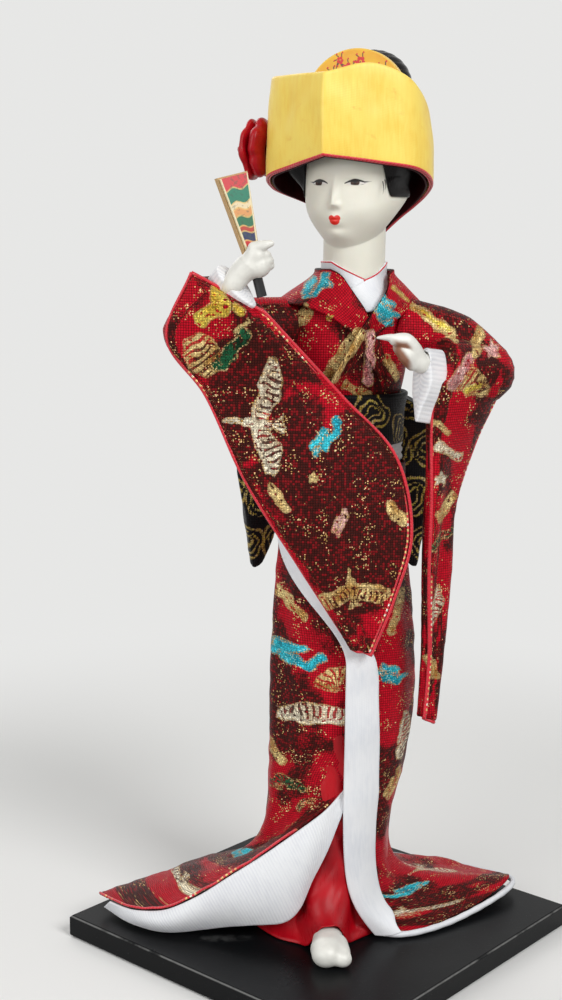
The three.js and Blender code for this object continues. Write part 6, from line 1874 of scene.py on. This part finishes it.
def make_rose():
    rolls = (
        ribbon_roll(ROSE_RADIUS, foot=-0.4, top=4.3, level=ROSE_LEVEL, folds=5, seed=0.6),
        ribbon_roll(ROSE_RADIUS, foot=4.1, top=7.1, level=ROSE_LEVEL - 0.8, folds=4, seed=1.9),
    )
    parts = [(raised(p, 0.4 * bumps(p * (0.5, 1, 1), 4.0)), quads(*p.shape[:2])) for p in rolls]
    points, faces = gather(parts)
    s, t = np.concatenate([lengths(p) for p in rolls], axis=1)
    rose = build("rose_ribbon", points, faces, threads(s, t), True)
    thicken(rose, 0.4)
    finish_piece(rose, RED_SATIN, "head", ["rose_petals"])
    steps = 89
    coil = np.linspace(0, 1, steps + 1)
    turn = coil * 4.2 * math.pi
    wide = lerp(1.7, 0.4, coil)

    def point(u, v):
        k = np.clip((u * steps).astype(int), 0, steps)
        high = lerp(5.6, 10.0 + 0.5 * smooth(u, 0.2, 0.6), v)
        r = wide[k] * (1 - 0.15 * v)
        level = ROSE_LEVEL - 0.6 + r * np.sin(turn[k])
        return on_hat(stack(-(ROSE_FOOT + high), r * np.cos(turn[k]) - ROSE_FORWARD, level))

    p = grid(point, steps, 10)
    s, t = lengths(p)
    heart = build("rose_coil", p, quads(*p.shape[:2]), threads(s, t), True)
    thicken(heart, 0.35)
    finish_piece(heart, RED_SATIN, "head", ["rose_heart"])


# Hands, feet, padding and the CAD nodes that stay


def closed_up(obj, gap, voxel, rounds):
    """Fills gaps narrower than twice the given size: swollen, remeshed, then drawn back in."""
    for move in (gap, -gap):
        set_points(obj, points_of(obj) + vertex_normals(obj) * move)
        ease_over(obj, voxel, rounds)
        settle(obj)
    return obj


def limb(stops, sides=20):
    """Points and faces of a round-ended form through (point, radius) stops."""
    ends = np.array([stop[0] for stop in stops], float)
    t = np.linspace(0, 1, 12 * len(stops))
    path = catmull(ends, t)
    radius = np.interp(t * (len(stops) - 1), np.arange(len(stops)), [stop[1] for stop in stops])
    turn = np.radians((88, 70, 50, 30, 12))
    first, last = unit(path[0] - path[1]), unit(path[-1] - path[-2])
    head = path[0] + np.outer(np.sin(turn) * radius[0], first)
    foot = path[-1] + np.outer(np.sin(turn[::-1]) * radius[-1], last)
    wide = np.concatenate((np.cos(turn) * radius[0], radius, np.cos(turn[::-1]) * radius[-1]))
    return tube(np.vstack((head, path, foot)), wide, sides)


# Limbs of the hands and the right foot, as (point, radius) stops
RIGHT_HAND = (
    [((-40.4, -29.2, 218.9), 3.1), ((-39.2, -31, 220), 3.35), ((-36.2, -32, 224), 3.9),
     ((-33.2, -33, 226.8), 4.4), ((-32, -34, 229), 3.6)],
    [((-34, -33, 225.6), 3.6), ((-31.3, -33.2, 226.4), 4.2)],
    [((-32.6, -34.6, 231.2), 2.2), ((-30, -36, 232.1), 1.7), ((-27.6, -36.2, 232.8), 1.05)],
    [((-31, -35, 229.6), 1.7), ((-28.9, -34.6, 229.2), 1.5), ((-28.6, -32, 228.6), 1.3)],
    [((-30.4, -34.6, 227.6), 1.7), ((-28.1, -34.2, 227.6), 1.5), ((-27.9, -31.6, 227.2), 1.3)],
    [((-30, -33.8, 225.8), 1.7), ((-27.7, -33.3, 226.1), 1.4), ((-27.7, -31, 226), 1.2)],
)
LEFT_HAND = (
    [((22.6, -27.6, 196.2), 3.1), ((20.4, -29, 196.2), 3.2), ((19.2, -29.5, 198.4), 2.8),
     ((17.6, -30.5, 201.1), 2.5), ((15.2, -31.5, 203.2), 2.6), ((11.6, -32.5, 203.7), 2.0),
     ((9.9, -33, 204.3), 1.25), ((7.7, -33.5, 204.4), 0.85), ((5.9, -33.5, 204.3), 0.45)],
    [((13.6, -30.8, 201.2), 2.4), ((15.7, -31, 198.6), 2.7), ((17.8, -29.8, 196.2), 2.5)],
)
RIGHT_FOOT = (
    [((-5.4, -26, 4.4), 4.0), ((-6, -36, 4.6), 4.7), ((-6.6, -40, 4.5), 4.9), ((-7, -42.2, 4.1), 4.3)],
    [((-4.4, -36, 4.2), 4.2), ((-3.4, -41.4, 3.5), 3.6), ((-2.6, -43.4, 3.0), 2.8)],
)
FOOT_BROADER = 1.16
CAST_VOXEL = 0.25
BORE_RADIUS = 1.95
LEG_DRAWN_IN = 0.8
PALM_FACING = np.array((-0.75, -0.2, -0.65))


def paddle_room():
    """The space the paddle needs through the fist: a bore for the grip and a slot for the blade's foot."""
    at = PADDLE_AT - FIGURE_AT
    axis, front = PADDLE_AXIS, unit(PADDLE_FRONT - PADDLE_AXIS * np.dot(PADDLE_FRONT, PADDLE_AXIS))
    side = np.cross(axis, front)
    bore = tube(at + np.outer(np.linspace(-14, 14, 8), axis), BORE_RADIUS, 24)
    corners = np.array([(x, y, z) for x in (-1, 1) for y in (-1, 1) for z in (-1, 1)], float)
    box = at + axis * PADDLE_BLADE_FOOT
    box = box + np.outer(corners[:, 0] * 4.4, side) + np.outer(corners[:, 1] * BORE_RADIUS + 0.4, front)
    box = box + np.outer(corners[:, 2] * 7 + 6.6, axis)
    sides = [[0, 1, 3, 2], [4, 6, 7, 5], [0, 4, 5, 1], [2, 3, 7, 6], [0, 2, 6, 4], [1, 5, 7, 3]]
    points, faces = gather((bore, (box, sides)))
    return build("paddle_room", points, faces)


def make_hand(name, limbs, cutter=None):
    """A cast hand or foot: its limbs run together, with room cut for what it holds."""
    obj = build(name, *gather([limb(stops) for stops in limbs]))
    for rounds in (6, 3):
        ease_over(obj, CAST_VOXEL, rounds)
        if cutter and rounds > 3:
            room = obj.modifiers.new("room", "BOOLEAN")
            room.operation = "DIFFERENCE"
            room.object = cutter
        settle(obj)
    return obj


def make_casts():
    room = paddle_room()
    ease_over(room, CAST_VOXEL)
    settle(room)
    obj = make_hand("hand_right_cast", RIGHT_HAND, room)
    bpy.data.objects.remove(room)
    finish_piece(obj, PLAIN_SKIN, "right_hand", ["hand_right"])
    obj = make_hand("hand_left_cast", LEFT_HAND)
    # Painted shade: the left palm, facing down and away from the light, is browned through the stain field.
    at = points_of(obj) - FIGURE_AT
    shaded = smooth(vertex_normals(obj) @ PALM_FACING, 0.0, 0.5)
    shaded = shaded * smooth(at[:, 0], 10, 12.5) * smooth(at[:, 0], 18, 15.5)
    add_fields(obj, {"stain_and_painted_shade": stack(shaded, 0.0, 0.0)})
    finish_piece(obj, PLAIN_SKIN, "left_hand", ["hand_left"])
    obj = closed_up(make_hand("foot_right_cast", RIGHT_FOOT), gap=1.2, voxel=0.3, rounds=5)
    middle = np.array((RIGHT_TOE_X + FIGURE_AT[0], 0, 0))
    set_points(obj, (points_of(obj) - middle) * (FOOT_BROADER, 1, 1) + middle)
    finish_piece(obj, PLAIN_SKIN, "figure", ["foot_right"])
    obj = from_node("foot_left_cast", "foot_left", voxel=0.3, rounds=4)
    obj = closed_up(obj, gap=0.7, voxel=0.3, rounds=6)
    finish_piece(obj, PLAIN_SKIN, "figure", ["foot_left"])


PADDING = (
    ("body_padding", "body_core"),
    ("leg_padding_right", "leg_right"),
    ("leg_padding_left", "leg_left"),
    ("arm_padding_right", "arm_pad_right"),
    ("arm_padding_left", "arm_pad_left"),
)


def make_padding():
    for name, node in PADDING:
        obj = from_node(name, node, voxel=1.0, rounds=5, swell=0.12, pitch=4.0)
        if node.startswith("leg"):
            set_points(obj, points_of(obj) - vertex_normals(obj) * LEG_DRAWN_IN)
        finish_piece(obj, WADDING, "figure", [node])


NODE_LOOKS = {
    "base_plate": BASE_LACQUER,
    "leg_wire_right": STEEL,
    "leg_wire_left": STEEL,
    "neck_peg": WOOD,
    "arm_wire_right": STEEL,
    "arm_wire_left": STEEL,
    "paddle_board": WOOD,
    "paddle_grip": LACQUER,
    "paddle_print": PICTURE,
}


def dress_nodes():
    for node, material in NODE_LOOKS.items():
        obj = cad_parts[node]
        obj.data.materials.clear()
        obj.data.materials.append(material)


make_padding()
make_bodice()
make_collars()
make_obi()
make_bow()
make_skirt()
make_facing()
make_side_lining()
make_hem_roll()
make_underskirt()
for side, word in SIDES:
    sleeve = make_sleeve(side, word)
    make_piping(side, word)
    make_cuff(side, word)
make_head()
make_hair()
make_comb()
make_headdress()
make_rose()
make_casts()
dress_nodes()
